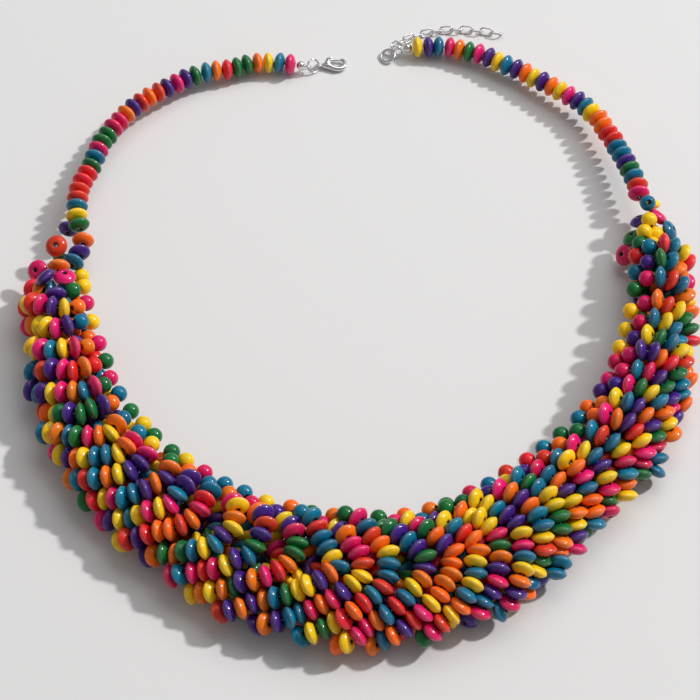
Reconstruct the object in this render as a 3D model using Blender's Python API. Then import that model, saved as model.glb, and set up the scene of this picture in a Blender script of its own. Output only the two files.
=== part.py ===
"""Beaded bib necklace laid out flat, open at its clasp.

Units are metres and +Z is up. The table surface is z = 0, the wearer's front is -Y, and the
origin is the middle of the necklace's bounding box, on the table. A thick collar of bead rows
runs round the front, a single string of flat beads leads from each of its ends to the back,
and the findings are a lobster clasp on one side and a ring with a short extender chain on the
other.
"""

import math

import bmesh
import bpy
from mathutils import Matrix, Vector

# Beads
SAUCER_DIAMETER = 0.0080
SAUCER_THICKNESS = 0.0040
SAUCER_NECK = 0.0038
ROUND_DIAMETER = 0.0058
PIECE_GAP = 0.0003

# Collar
NECK_HALF_WIDTH = 0.1000
NECK_REACH = 0.0870
FRONT_WIDTH = 0.0440
FRONT_HEIGHT = 0.0250
ROW_PITCH = 0.0083
ROW_LEAN = 0.0140
ROW_SWEEP = 0.0210
ROW_SAUCERS = 8
INNER_FOOT_INSET = 0.0022
OUTER_FOOT_INSET = 0.0045

# Findings
BEAD_TIP_DIAMETER = 0.0034
BEAD_TIP_LOOP_RADIUS = 0.0011
LOOP_WIRE = 0.0007
CLASP_RING_RADIUS = 0.00245
CLASP_RING_WIRE = 0.0007
TAIL_LOOP_RADIUS = 0.0012
TAIL_LOOP_WIRE = 0.0009
CLASP_THICKNESS = 0.0026
CLASP_LENGTH = 0.0100
END_RING_RADIUS = 0.0027
END_RING_WIRE = 0.0010
CHAIN_RING_RADIUS = 0.0020
CHAIN_RING_WIRE = 0.0007
TABLE_CLEARANCE = 0.0001
FINDING_ROLL = math.radians(45.0)

# Extender chain
LINK_COUNT = 12
LINK_HALF_LENGTH = 0.00245
LINK_HALF_WIDTH = 0.0013
LINK_WIRE = 0.00066
LINK_CLEARANCE = 0.0004
FIRST_LINK_CLEARANCE = 0.0007
LINK_ROLL = math.radians(45.0)

# Collar sections from the wearer's right end, round the front, to the left end. "across" and
# "forward" place the inner edge as shares of NECK_HALF_WIDTH and NECK_REACH, "width" and
# "height" are shares of FRONT_WIDTH and FRONT_HEIGHT, and "lean" and "sweep" are shares of
# ROW_LEAN and ROW_SWEEP.
COLLAR_SECTIONS = [
    {"across": -0.970, "forward": -0.360, "width": 0.190, "height": 0.60, "lean": 0.00, "sweep": 0.00},
    {"across": -0.985, "forward": -0.110, "width": 0.460, "height": 0.70, "lean": 0.15, "sweep": 0.40},
    {"across": -0.915, "forward": 0.180, "width": 0.550, "height": 0.80, "lean": 0.22, "sweep": 0.65},
    {"across": -0.785, "forward": 0.520, "width": 0.655, "height": 0.86, "lean": 0.33, "sweep": 0.75},
    {"across": -0.540, "forward": 0.790, "width": 0.780, "height": 0.93, "lean": 0.55, "sweep": 0.82},
    {"across": -0.200, "forward": 0.965, "width": 0.957, "height": 1.00, "lean": 1.00, "sweep": 1.00},
    {"across": 0.180, "forward": 0.985, "width": 1.000, "height": 1.00, "lean": 0.95, "sweep": 0.45},
    {"across": 0.530, "forward": 0.790, "width": 0.775, "height": 0.95, "lean": 0.65, "sweep": 0.33},
    {"across": 0.800, "forward": 0.505, "width": 0.670, "height": 0.88, "lean": 0.43, "sweep": 0.29},
    {"across": 0.950, "forward": 0.130, "width": 0.540, "height": 0.82, "lean": 0.30, "sweep": 0.29},
    {"across": 1.000, "forward": -0.220, "width": 0.460, "height": 0.72, "lean": 0.22, "sweep": 0.19},
    {"across": 0.995, "forward": -0.520, "width": 0.190, "height": 0.60, "lean": 0.00, "sweep": 0.00},
]

# One row of beads over the collar, from its inner tip to its outer tail. "out" is a share of
# the section's width and "up" of its height, both measured to bead centres. "lean" is a share
# of how far the section's rows lean one way along the collar, and "sweep" of how far their
# tails swing back.
ROW_PATH = [
    {"out": 0.085, "up": 0.76, "lean": 0.00, "sweep": 0.00},
    {"out": 0.150, "up": 0.86, "lean": 0.35, "sweep": 0.00},
    {"out": 0.230, "up": 0.94, "lean": 0.70, "sweep": 0.00},
    {"out": 0.310, "up": 0.99, "lean": 0.92, "sweep": 0.00},
    {"out": 0.400, "up": 1.00, "lean": 1.00, "sweep": 0.00},
    {"out": 0.500, "up": 0.96, "lean": 1.03, "sweep": 0.04},
    {"out": 0.600, "up": 0.88, "lean": 1.03, "sweep": 0.11},
    {"out": 0.710, "up": 0.77, "lean": 1.00, "sweep": 0.24},
    {"out": 0.820, "up": 0.65, "lean": 1.00, "sweep": 0.44},
    {"out": 0.910, "up": 0.54, "lean": 1.00, "sweep": 0.70},
    {"out": 0.965, "up": 0.46, "lean": 1.00, "sweep": 0.87},
    {"out": 1.000, "up": 0.38, "lean": 1.00, "sweep": 1.00},
]

# Chosen points of the two strings' and the chain's routes, from the findings outwards. Each
# string ends at the collar and the chain begins at its ring, so those points are worked out.
LEFT_STRING_ROUTE = [
    (-0.0230, 0.1140, 0.0041),
    (-0.0350, 0.1150, 0.0043),
    (-0.0470, 0.1118, 0.0048),
    (-0.0585, 0.1086, 0.0054),
    (-0.0687, 0.1024, 0.0061),
    (-0.0785, 0.0948, 0.0068),
    (-0.0864, 0.0855, 0.0076),
    (-0.0929, 0.0743, 0.0084),
    (-0.0966, 0.0620, 0.0093),
    (-0.1000, 0.0507, 0.0102),
    (-0.1006, 0.0400, 0.0110),
]
RIGHT_STRING_ROUTE = [
    (0.0218, 0.1226, 0.0041),
    (0.0343, 0.1225, 0.0043),
    (0.0458, 0.1188, 0.0048),
    (0.0567, 0.1126, 0.0054),
    (0.0672, 0.1058, 0.0061),
    (0.0765, 0.0984, 0.0068),
    (0.0855, 0.0903, 0.0076),
    (0.0911, 0.0805, 0.0084),
    (0.0953, 0.0706, 0.0093),
    (0.0985, 0.0612, 0.0102),
    (0.1012, 0.0525, 0.0109),
]
CHAIN_ROUTE = [
    (0.0170, 0.1272, 0.0022),
    (0.0219, 0.1305, 0.0013),
    (0.0292, 0.1330, 0.0013),
    (0.0371, 0.1340, 0.0013),
    (0.0455, 0.1335, 0.0013),
    (0.0577, 0.1315, 0.0013),
]

# Claw and lever of the lobster clasp in its own plane, as shares of CLASP_LENGTH for "along"
# and "across" and of CLASP_THICKNESS for "wide".
CLAW_SHAPE = [
    {"along": 0.135, "across": 0.000, "wide": 0.58},
    {"along": 0.240, "across": -0.010, "wide": 0.92},
    {"along": 0.380, "across": -0.060, "wide": 1.00},
    {"along": 0.540, "across": -0.170, "wide": 0.81},
    {"along": 0.700, "across": -0.230, "wide": 0.73},
    {"along": 0.860, "across": -0.210, "wide": 0.69},
    {"along": 0.970, "across": -0.120, "wide": 0.65},
    {"along": 1.000, "across": 0.010, "wide": 0.58},
    {"along": 0.975, "across": 0.120, "wide": 0.54},
    {"along": 0.910, "across": 0.185, "wide": 0.46},
    {"along": 0.850, "across": 0.195, "wide": 0.42},
]
LEVER_SHAPE = [
    {"along": 0.390, "across": 0.190, "wide": 0.62},
    {"along": 0.540, "across": 0.218, "wide": 0.56},
    {"along": 0.690, "across": 0.220, "wide": 0.48},
    {"along": 0.810, "across": 0.205, "wide": 0.38},
]
NUB_DIAMETER = 0.0013
NUB_PLACE = {"along": 0.470, "across": 0.310}
CLASP_TURN = math.radians(6.0)
CLASP_RING_TURN = math.radians(26.0)
END_RING_TURN = math.radians(203.0)
LEFT_TIP_AIM = (0.985, -0.020, -0.172)
RIGHT_TIP_AIM = (-0.970, 0.060, -0.235)

COLOURS = {
    "collar_left": (0.78, 0.13, 0.06),
    "collar_right": (0.86, 0.36, 0.04),
    "left_string": (0.05, 0.22, 0.36),
    "right_string": (0.92, 0.55, 0.04),
}
METAL_COLOUR = (0.72, 0.72, 0.74)


def clear_objects():
    """Remove whatever the file opened with."""
    for old in list(bpy.data.objects):
        bpy.data.objects.remove(old, do_unlink=True)


def new_collection(name):
    collection = bpy.data.collections.new(name)
    bpy.context.scene.collection.children.link(collection)
    return collection


def paint(obj, colour, roughness, metallic):
    """Give the piece a Principled material of its own."""
    material = bpy.data.materials.new(obj.name + "_finish")
    material.use_nodes = True
    shader = material.node_tree.nodes["Principled BSDF"]
    shader.inputs["Base Color"].default_value = (*colour, 1.0)
    shader.inputs["Roughness"].default_value = roughness
    shader.inputs["Metallic"].default_value = metallic
    obj.data.materials.clear()
    obj.data.materials.append(material)


def catmull_rom(points, t):
    """Point at share t of a smooth curve through the points."""
    spans = len(points) - 1
    place = min(max(t, 0.0), 1.0) * spans
    i = min(int(place), spans - 1)
    f = place - i
    b = Vector(points[i])
    c = Vector(points[i + 1])
    a = Vector(points[i - 1]) if i > 0 else b * 2.0 - c
    d = Vector(points[i + 2]) if i + 2 <= spans else c * 2.0 - b
    return 0.5 * (
        b * 2.0 + (c - a) * f + (a * 2.0 - b * 5.0 + c * 4.0 - d) * f * f
        + (b * 3.0 - a - c * 3.0 + d) * f * f * f
    )


class Route:
    """Smooth curve through points that is measured by its length."""

    def __init__(self, points, steps=600):
        self.points = points
        self.steps = steps
        self.lengths = [0.0]
        last = catmull_rom(points, 0.0)
        for k in range(1, steps + 1):
            here = catmull_rom(points, k / steps)
            self.lengths.append(self.lengths[-1] + (here - last).length)
            last = here
        self.length = self.lengths[-1]

    def share(self, distance):
        distance = min(max(distance, 0.0), self.length)
        low, high = 0, self.steps
        while high - low > 1:
            middle = (low + high) // 2
            if self.lengths[middle] <= distance:
                low = middle
            else:
                high = middle
        span = self.lengths[high] - self.lengths[low]
        return (low + (distance - self.lengths[low]) / max(span, 1e-12)) / self.steps

    def at(self, distance):
        return catmull_rom(self.points, self.share(distance))

    def direction(self, distance):
        step = self.length / self.steps
        ahead = self.at(min(distance + step, self.length))
        behind = self.at(max(distance - step, 0.0))
        return (ahead - behind).normalized()


def columns(table, *names):
    return [tuple(row[name] for name in names) for row in table]


class Collar:
    """The collar's bead-centre surface, from its sections and its row path."""

    def __init__(self):
        edge = [
            (row["across"] * NECK_HALF_WIDTH, -row["forward"] * NECK_REACH, 0.0)
            for row in COLLAR_SECTIONS
        ]
        self.edge = Route(edge)
        self.rows = max(4, round(self.edge.length / ROW_PITCH))
        self.pitch = self.edge.length / self.rows
        self.row = Route(
            [
                (
                    p["out"] * (FRONT_WIDTH - SAUCER_DIAMETER / 2.0),
                    p["up"] * (FRONT_HEIGHT - SAUCER_DIAMETER / 2.0),
                    p["lean"] * ROW_LEAN - p["sweep"] * ROW_SWEEP,
                )
                for p in ROW_PATH
            ],
            240,
        )
        self.rings = self.ring_places()

    def ring_places(self):
        """Share along the row, bead radius and inward reach of each ring."""
        rounds = 2.0 * ROUND_DIAMETER
        step = (self.row.length - 1.5 * ROUND_DIAMETER) / ROW_SAUCERS
        neck = SAUCER_NECK / 2.0
        ball = ROUND_DIAMETER / 2.0
        rim = SAUCER_DIAMETER / 2.0
        places = [
            (0.0, 0.0, ball),
            (0.0, ball, 0.0),
            (ball, neck, 0.0),
            (2.0 * ball, ball, 0.0),
            (rounds - ball, neck, 0.0),
        ]
        start = rounds - ball
        for k in range(ROW_SAUCERS):
            places.append((start + (k + 0.5) * step, rim, 0.0))
            places.append((start + (k + 1.0) * step, neck, 0.0))
        return [(d / self.row.length, r, reach) for d, r, reach in places]

    def section(self, s):
        """Width, height, lean and sweep of the collar at length s."""
        t = self.edge.share(s)
        names = ("width", "height", "lean", "sweep")
        width, height, lean, sweep = catmull_rom(columns(COLLAR_SECTIONS, *names), t)
        return width * FRONT_WIDTH, height * FRONT_HEIGHT, lean * ROW_LEAN, sweep * ROW_SWEEP

    def place(self, s, out, up):
        """World point at length s, a distance out from the inner edge and up."""
        point = self.edge.at(s)
        along = self.edge.direction(s)
        outward = Vector((along.y, -along.x, 0.0))
        return Vector((point.x, point.y, 0.0)) + outward * out + Vector((0.0, 0.0, up))

    def centre(self, s, share):
        """Bead centre at length s of the inner edge and a share along the row."""
        t = self.row.share(share * self.row.length)
        names = ("out", "up", "lean", "sweep")
        out, up, lean_share, sweep_share = catmull_rom(columns(ROW_PATH, *names), t)
        width, height, lean, sweep = self.section(s)
        rim = SAUCER_DIAMETER / 2.0
        along = s + lean_share * lean - sweep_share * sweep
        return self.place(along, out * (width - rim), up * (height - rim))

    def normal(self, s, share):
        step = 0.02
        along = self.edge.direction(s)
        over = self.centre(s, min(share + step, 1.0)) - self.centre(s, max(share - step, 0.0))
        return over.cross(along).normalized()

    def surface(self, s, bulge, ring):
        """Outer skin where bulge runs from 0 in a valley to 1 on a row's ridge."""
        share, radius, reach = ring
        point = self.centre(s, share)
        if radius > 0.0:
            point = point + self.normal(s, share) * radius * bulge
        if reach > 0.0:
            along = self.edge.direction(s)
            point = point - Vector((along.y, -along.x, 0.0)) * reach * bulge
        return point

    def foot(self, s):
        """The two edges of the flat underside at length s."""
        width, height, lean, sweep = self.section(s)
        tail = s + ROW_PATH[-1]["lean"] * lean - ROW_PATH[-1]["sweep"] * sweep
        inner = min(INNER_FOOT_INSET, width * 0.3)
        outer = max(width - OUTER_FOOT_INSET, width * 0.6)
        return self.place(s, inner, 0.0), self.place(tail, outer, 0.0)


def collar_half(name, collar, first_row, last_row, start, end, collection):
    """One half of the collar: rows of ridges over a flat-bottomed roll."""
    half_sides = [0.0, 0.588, 0.951, 0.951, 0.588]
    offsets = [-0.5, -0.405, -0.155, 0.155, 0.405]
    stations = []
    for row in range(first_row, last_row):
        for offset, bulge in zip(offsets, half_sides):
            stations.append(((row + 0.5 + offset) * collar.pitch, bulge))
    stations.append((last_row * collar.pitch, 0.0))
    stations[0] = (start, 0.0)
    stations[-1] = (end, 0.0)

    bm = bmesh.new()
    grid = []
    for s, bulge in stations:
        grid.append([bm.verts.new(collar.surface(s, bulge, ring)) for ring in collar.rings])
    feet = []
    for k in range(0, len(stations), len(offsets)):
        inner, outer = collar.foot(stations[k][0])
        feet.append((bm.verts.new(inner), bm.verts.new(outer)))

    for a, b in zip(grid, grid[1:]):
        for j in range(len(collar.rings) - 1):
            bm.faces.new((a[j], a[j + 1], b[j + 1], b[j]))
    middle = len(offsets) // 2 + 1
    for r in range(last_row - first_row):
        near, far = feet[r], feet[r + 1]
        for k in range(len(offsets)):
            a = grid[r * len(offsets) + k]
            b = grid[r * len(offsets) + k + 1]
            foot = near if k < middle else far
            bm.faces.new((a[0], b[0], foot[0]))
            bm.faces.new((b[-1], a[-1], foot[1]))
        turn = grid[r * len(offsets) + middle]
        bm.faces.new((turn[0], far[0], near[0]))
        bm.faces.new((turn[-1], near[1], far[1]))
        bm.faces.new((near[0], far[0], far[1], near[1]))
    for loop, foot, flip in ((grid[0], feet[0], False), (grid[-1], feet[-1], True)):
        rim = list(loop) + [foot[1], foot[0]]
        hub = bm.verts.new(sum((v.co for v in rim), Vector()) / len(rim))
        for a, b in zip(rim, rim[1:] + rim[:1]):
            bm.faces.new((hub, a, b) if flip else (hub, b, a))
    bmesh.ops.recalc_face_normals(bm, faces=bm.faces)
    mesh = bpy.data.meshes.new(name)
    bm.to_mesh(mesh)
    bm.free()
    obj = bpy.data.objects.new(name, mesh)
    collection.objects.link(obj)
    mesh.shade_smooth()
    mesh.set_sharp_from_angle(angle=math.radians(50.0))
    paint(obj, COLOURS[name], 0.35, 0.0)
    return obj


def wire_curve(name, points, radii, resolution, cyclic, collection):
    """A round bar along the points, as thick as the radii say."""
    data = bpy.data.curves.new(name, "CURVE")
    data.dimensions = "3D"
    data.bevel_depth = 1.0
    data.bevel_resolution = resolution
    data.use_fill_caps = not cyclic
    spline = data.splines.new("POLY")
    spline.points.add(len(points) - 1)
    spline.use_cyclic_u = cyclic
    for target, point, radius in zip(spline.points, points, radii):
        target.co = (*point, 1.0)
        target.radius = radius
    obj = bpy.data.objects.new(name, data)
    collection.objects.link(obj)
    return obj


def as_mesh(obj, collection):
    """Turn a curve object into a welded mesh object of the same name."""
    name = obj.name
    depsgraph = bpy.context.evaluated_depsgraph_get()
    mesh = bpy.data.meshes.new_from_object(obj.evaluated_get(depsgraph))
    place = obj.matrix_world.copy()
    bpy.data.objects.remove(obj, do_unlink=True)
    bm = bmesh.new()
    bm.from_mesh(mesh)
    bmesh.ops.remove_doubles(bm, verts=bm.verts, dist=1e-6)
    bmesh.ops.recalc_face_normals(bm, faces=bm.faces)
    bm.to_mesh(mesh)
    bm.free()
    made = bpy.data.objects.new(name, mesh)
    made.matrix_world = place
    collection.objects.link(made)
    return made


def collar_end(collar, s):
    """Point where a string meets the collar's end, in the middle of its top row."""
    width, height, lean, sweep = collar.section(s)
    rim = SAUCER_DIAMETER / 2.0
    return collar.place(s, (width - rim) / 2.0, height - rim)


def bead_string(name, route_points, end_clearance, collection):
    """A single string of flat beads from the findings to the collar."""
    route = Route(route_points)
    usable = route.length - end_clearance
    beads = max(2, round(usable / SAUCER_THICKNESS))
    pitch = usable / beads
    points = []
    radii = []
    for k in range(beads):
        points.append(route.at(k * pitch))
        radii.append(SAUCER_NECK / 2.0)
        points.append(route.at((k + 0.5) * pitch))
        radii.append(SAUCER_DIAMETER / 2.0)
    points.append(route.at(usable))
    radii.append(SAUCER_NECK / 2.0)
    obj = wire_curve(name, points, radii, 3, False, collection)
    paint(obj, COLOURS[name], 0.35, 0.0)
    return obj


def ring_frame(centre, along, roll):
    """Placement whose X axis is along and whose Z axis leans from upright by roll."""
    x = along.normalized()
    side = Vector((0.0, 0.0, 1.0)).cross(x).normalized()
    z = Matrix.Rotation(roll, 3, x) @ x.cross(side)
    y = z.cross(x)
    frame = Matrix((x, y, z)).transposed().to_4x4()
    frame.translation = centre
    return frame


def ring(name, radius, wire, frame, segments, collection):
    """A closed wire ring."""
    bpy.ops.mesh.primitive_torus_add(
        major_segments=segments, minor_segments=6, major_radius=radius, minor_radius=wire / 2.0
    )
    obj = bpy.context.active_object
    obj.name = name
    obj.data.name = name
    for other in list(obj.users_collection):
        other.objects.unlink(obj)
    collection.objects.link(obj)
    obj.matrix_world = frame
    obj.data.shade_smooth()
    paint(obj, METAL_COLOUR, 0.25, 1.0)
    return obj


def fuse(target, tool, cutters):
    """Join tool into target for good."""
    for other in list(tool.users_collection):
        other.objects.unlink(tool)
    cutters.objects.link(tool)
    tool.hide_render = True
    tool.display_type = "WIRE"
    modifier = target.modifiers.new("fuse_" + tool.name, "BOOLEAN")
    modifier.operation = "UNION"
    modifier.solver = "EXACT"
    modifier.object = tool
    return target


def bead_tip(name, string_end, aim, roll, collection, cutters):
    """Knot cover at a string's end with the loop that the jump ring goes through."""
    radius = BEAD_TIP_DIAMETER / 2.0
    centre = string_end + aim * (PIECE_GAP + radius)
    loop_centre = centre + aim * (radius - LOOP_WIRE / 4.0 + BEAD_TIP_LOOP_RADIUS)
    bm = bmesh.new()
    bmesh.ops.create_uvsphere(bm, u_segments=10, v_segments=8, radius=radius)
    mesh = bpy.data.meshes.new(name)
    bm.to_mesh(mesh)
    bm.free()
    obj = bpy.data.objects.new(name, mesh)
    collection.objects.link(obj)
    quarter = Matrix.Rotation(math.radians(90.0), 4, "Y")
    obj.matrix_world = ring_frame(centre, aim, 0.0) @ quarter
    obj.data.shade_smooth()
    paint(obj, METAL_COLOUR, 0.25, 1.0)
    loop = ring(
        name + "_loop",
        BEAD_TIP_LOOP_RADIUS,
        LOOP_WIRE,
        ring_frame(loop_centre, aim, roll),
        12,
        collection,
    )
    fuse(obj, loop, cutters)
    return loop_centre


def clasp(tail, along, collection, cutters, root):
    """Lobster clasp: claw with its tail loop, and the sprung lever that shuts it."""
    axis = Vector((along.x, along.y, 0.0)).normalized()
    side = Vector((-axis.y, axis.x, 0.0))
    height = CLASP_THICKNESS / 2.0

    def shape(table):
        points = []
        radii = []
        for row in table:
            point = tail + axis * row["along"] * CLASP_LENGTH
            point = point + side * row["across"] * CLASP_LENGTH
            points.append(Vector((point.x, point.y, height)))
            radii.append(row["wide"] * CLASP_THICKNESS / 2.0)
        return points, radii

    points, radii = shape(CLAW_SHAPE)
    body = as_mesh(wire_curve("clasp_body", points, radii, 2, False, collection), collection)
    body.data.shade_smooth()
    paint(body, METAL_COLOUR, 0.25, 1.0)
    tail_loop = ring(
        "clasp_tail_loop",
        TAIL_LOOP_RADIUS,
        TAIL_LOOP_WIRE,
        ring_frame(tail, axis, -FINDING_ROLL),
        12,
        collection,
    )
    fuse(body, tail_loop, cutters)

    points, radii = shape(LEVER_SHAPE)
    pivot = points[0]
    local = [p - pivot for p in points]
    curve = wire_curve("clasp_lever", local, radii, 2, False, collection)
    lever = as_mesh(curve, collection)
    lever.data.shade_smooth()
    paint(lever, METAL_COLOUR, 0.25, 1.0)
    hinge = bpy.data.objects.new("lever_hinge", None)
    hinge.location = pivot
    hinge.parent = root
    collection.objects.link(hinge)
    lever.parent = hinge
    bm = bmesh.new()
    bmesh.ops.create_icosphere(bm, subdivisions=1, radius=NUB_DIAMETER / 2.0)
    mesh = bpy.data.meshes.new("lever_nub")
    bm.to_mesh(mesh)
    bm.free()
    nub = bpy.data.objects.new("lever_nub", mesh)
    place = tail + axis * NUB_PLACE["along"] * CLASP_LENGTH
    place = place + side * NUB_PLACE["across"] * CLASP_LENGTH
    nub.location = (place.x, place.y, height)
    collection.objects.link(nub)
    fuse(lever, nub, cutters)
    return body, lever


def chain_link(name, centre, along, roll, collection):
    """One long oval link, its ends half round."""
    straight = LINK_HALF_LENGTH - LINK_HALF_WIDTH
    frame = ring_frame(centre, along, roll)
    points = []
    for end in (1.0, -1.0):
        for k in range(5):
            angle = math.radians(-90.0 + 45.0 * k)
            x = end * (straight + LINK_HALF_WIDTH * math.cos(angle))
            y = end * LINK_HALF_WIDTH * math.sin(angle)
            points.append(frame @ Vector((x, y, 0.0)))
    radii = [LINK_WIRE / 2.0] * len(points)
    obj = wire_curve(name, points, radii, 1, True, collection)
    paint(obj, METAL_COLOUR, 0.25, 1.0)
    return obj


def left_findings(collection, cutters, root):
    """Knot cover, jump ring and lobster clasp at the end of the left string."""
    string_end = Vector(LEFT_STRING_ROUTE[0])
    aim = Vector(LEFT_TIP_AIM).normalized()
    roll = -FINDING_ROLL
    loop_centre = bead_tip("bead_tip_left", string_end, aim, roll, collection, cutters)
    reach = 2.0 * CLASP_RING_RADIUS
    drop = CLASP_THICKNESS / 2.0 + PIECE_GAP - loop_centre.z
    flat = math.sqrt(max(reach * reach - drop * drop, 0.0))
    turn = CLASP_RING_TURN
    tail = loop_centre + Vector((math.cos(turn) * flat, math.sin(turn) * flat, drop))
    ring(
        "clasp_jump_ring",
        CLASP_RING_RADIUS,
        CLASP_RING_WIRE,
        ring_frame((loop_centre + tail) / 2.0, tail - loop_centre, FINDING_ROLL),
        14,
        collection,
    )
    clasp_axis = Vector((math.cos(CLASP_TURN), math.sin(CLASP_TURN), 0.0))
    clasp(tail, clasp_axis, collection, cutters, root)


def right_findings(collection, cutters):
    """Knot cover, jump ring, end ring and extender chain at the end of the right string."""
    string_end = Vector(RIGHT_STRING_ROUTE[0])
    aim = Vector(RIGHT_TIP_AIM).normalized()
    roll = FINDING_ROLL
    loop_centre = bead_tip("bead_tip_right", string_end, aim, roll, collection, cutters)

    # The jump ring's near side runs inside the end ring and its far side inside the loop.
    inside = END_RING_RADIUS - (END_RING_WIRE + CHAIN_RING_WIRE) / 2.0 - PIECE_GAP
    apart = inside + 2.0 * CHAIN_RING_RADIUS
    lean = END_RING_RADIUS / apart
    lowest = END_RING_WIRE / 2.0 + TABLE_CLEARANCE
    height = (lowest + lean * loop_centre.z) / (1.0 + lean)
    drop = height - loop_centre.z
    flat = math.sqrt(max(apart * apart - drop * drop, 0.0))
    turn = END_RING_TURN
    end_centre = loop_centre + Vector((math.cos(turn) * flat, math.sin(turn) * flat, drop))
    line = (loop_centre - end_centre).normalized()
    ring(
        "end_ring",
        END_RING_RADIUS,
        END_RING_WIRE,
        ring_frame(end_centre, line, 0.0),
        16,
        collection,
    )
    ring_centre = end_centre + line * (inside + CHAIN_RING_RADIUS)
    frame = ring_frame(ring_centre, line, FINDING_ROLL)
    ring("chain_jump_ring", CHAIN_RING_RADIUS, CHAIN_RING_WIRE, frame, 14, collection)

    hook = frame @ Vector((0.0, CHAIN_RING_RADIUS, 0.0))
    first_aim = (Vector(CHAIN_ROUTE[0]) - hook).normalized()
    start = hook - first_aim * ((CHAIN_RING_WIRE + LINK_WIRE) / 2.0 + FIRST_LINK_CLEARANCE)
    route = Route([start] + CHAIN_ROUTE)
    pitch = 2.0 * LINK_HALF_LENGTH - LINK_WIRE - LINK_CLEARANCE
    for k in range(LINK_COUNT):
        begin = k * pitch
        near = route.at(begin)
        far = route.at(begin + 2.0 * LINK_HALF_LENGTH)
        roll = -LINK_ROLL if k % 2 else LINK_ROLL
        name = "chain_link_{:02d}".format(k + 1)
        chain_link(name, (near + far) / 2.0, far - near, roll, collection)


def box_middle(pieces):
    """Middle of the pieces' bounding box, seen from above."""
    bpy.context.view_layer.update()
    depsgraph = bpy.context.evaluated_depsgraph_get()
    xs = []
    ys = []
    for obj in pieces:
        shown = obj.evaluated_get(depsgraph)
        for vertex in shown.to_mesh().vertices:
            point = obj.matrix_world @ vertex.co
            xs.append(point.x)
            ys.append(point.y)
        shown.to_mesh_clear()
    return (min(xs) + max(xs)) / 2.0, (min(ys) + max(ys)) / 2.0


def main():
    clear_objects()
    collection = new_collection("beaded_necklace")
    cutters = new_collection("joining_shapes")
    root = bpy.data.objects.new("necklace_on_table", None)
    collection.objects.link(root)

    collar = Collar()
    middle = collar.rows // 2
    cut = middle * collar.pitch
    gap = PIECE_GAP / 2.0
    length = collar.edge.length
    collar_half("collar_left", collar, 0, middle, 0.0, cut - gap, collection)
    collar_half("collar_right", collar, middle, collar.rows, cut + gap, length, collection)

    left_route = LEFT_STRING_ROUTE + [tuple(collar_end(collar, 0.0))]
    right_route = RIGHT_STRING_ROUTE + [tuple(collar_end(collar, length))]
    bead_string("left_string", left_route, PIECE_GAP, collection)
    bead_string("right_string", right_route, PIECE_GAP, collection)
    left_findings(collection, cutters, root)
    right_findings(collection, cutters)

    pieces = [obj for obj in collection.objects if obj.type in {"MESH", "CURVE"}]
    middle_x, middle_y = box_middle(pieces)
    for obj in list(collection.objects) + list(cutters.objects):
        if obj.parent is None and obj is not root:
            obj.parent = root
    root.location = (-middle_x, -middle_y, 0.0)


main()
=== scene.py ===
"""Beaded bib necklace: the threaded beads, the findings and the table they lie on.

Lengths are in metres and +Z is up. The frame is the packed model's own: the table is z = 0, the
wearer's front is -Y and the origin is the middle of the necklace's box.
"""

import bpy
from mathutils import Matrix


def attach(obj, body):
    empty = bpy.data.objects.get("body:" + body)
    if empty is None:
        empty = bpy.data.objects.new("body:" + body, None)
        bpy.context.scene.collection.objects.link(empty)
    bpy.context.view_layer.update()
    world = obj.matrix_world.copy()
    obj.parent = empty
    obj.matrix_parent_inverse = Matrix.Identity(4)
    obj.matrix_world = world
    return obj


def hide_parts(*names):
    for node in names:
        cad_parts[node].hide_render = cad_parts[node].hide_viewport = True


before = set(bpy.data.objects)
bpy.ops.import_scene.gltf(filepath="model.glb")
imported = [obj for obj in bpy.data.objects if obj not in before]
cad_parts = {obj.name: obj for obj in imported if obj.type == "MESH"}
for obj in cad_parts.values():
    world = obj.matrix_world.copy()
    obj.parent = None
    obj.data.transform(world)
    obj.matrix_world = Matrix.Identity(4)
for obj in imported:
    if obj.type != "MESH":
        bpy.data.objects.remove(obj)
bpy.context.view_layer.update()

import math
import random

import bpy
import numpy as np
from bpy.props import FloatProperty, FloatVectorProperty, IntProperty, PointerProperty
from bpy.types import Operator, Panel, PropertyGroup
from mathutils import Matrix, Vector

bl_info = {
    "name": "Beaded bib necklace",
    "version": (1, 0, 0),
    "blender": (4, 5, 0),
    "location": "3D View > Sidebar > Necklace",
    "description": "Builds a threaded bead collar with its strings, findings and table",
    "category": "Object",
}

BODY = "necklace"
LEVER_BODY = "lever"
# Where the routes' own origin lies in the frame.
ROUTE_ORIGIN = Vector((-0.000216, -0.003172, 0.0))
PIECE_GAP = 0.0003
MM = 0.001

# The paint's pattern on a round bead is scaled by this along its hole.
ROUND_PATTERN_SHARE = 0.999

# How beads are eased apart: how near two of them touch, how closely they pack, the share of an
# overlap and of a gap in a row that one round mends, the most that a bead moves in it, how often
# the threads' directions are taken anew, and how strongly each bead is drawn to its first place.
TOUCH_DISTANCE = 0.0085
PACKING = 0.97
PUSH_SHARE = 0.22
MEND_SHARE = 0.35
LARGEST_MOVE = 0.0006
TURN_ROUNDS = 10
TIP_HOLD = 0.22
SINGLE_HOLD = 0.10
ROW_HOLD = 0.03
BEAD_CLEARANCE = 0.00005
HEIGHT_CLEARANCE = 0.0003

# Seeded play of rows along the edge, of slack threads and of beads, and their tilt in degrees.
ROW_WOBBLE = 0.0010
THREAD_WANDER = 0.0013
BEAD_WANDER = 0.0009
TIP_WANDER = 0.0004
STRING_WANDER = 0.00022
TAIL_TILT = 26.0
BEAD_TILT = 10.0
STRING_TILT = 7.0
ANY_TURN = 6.28

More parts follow.
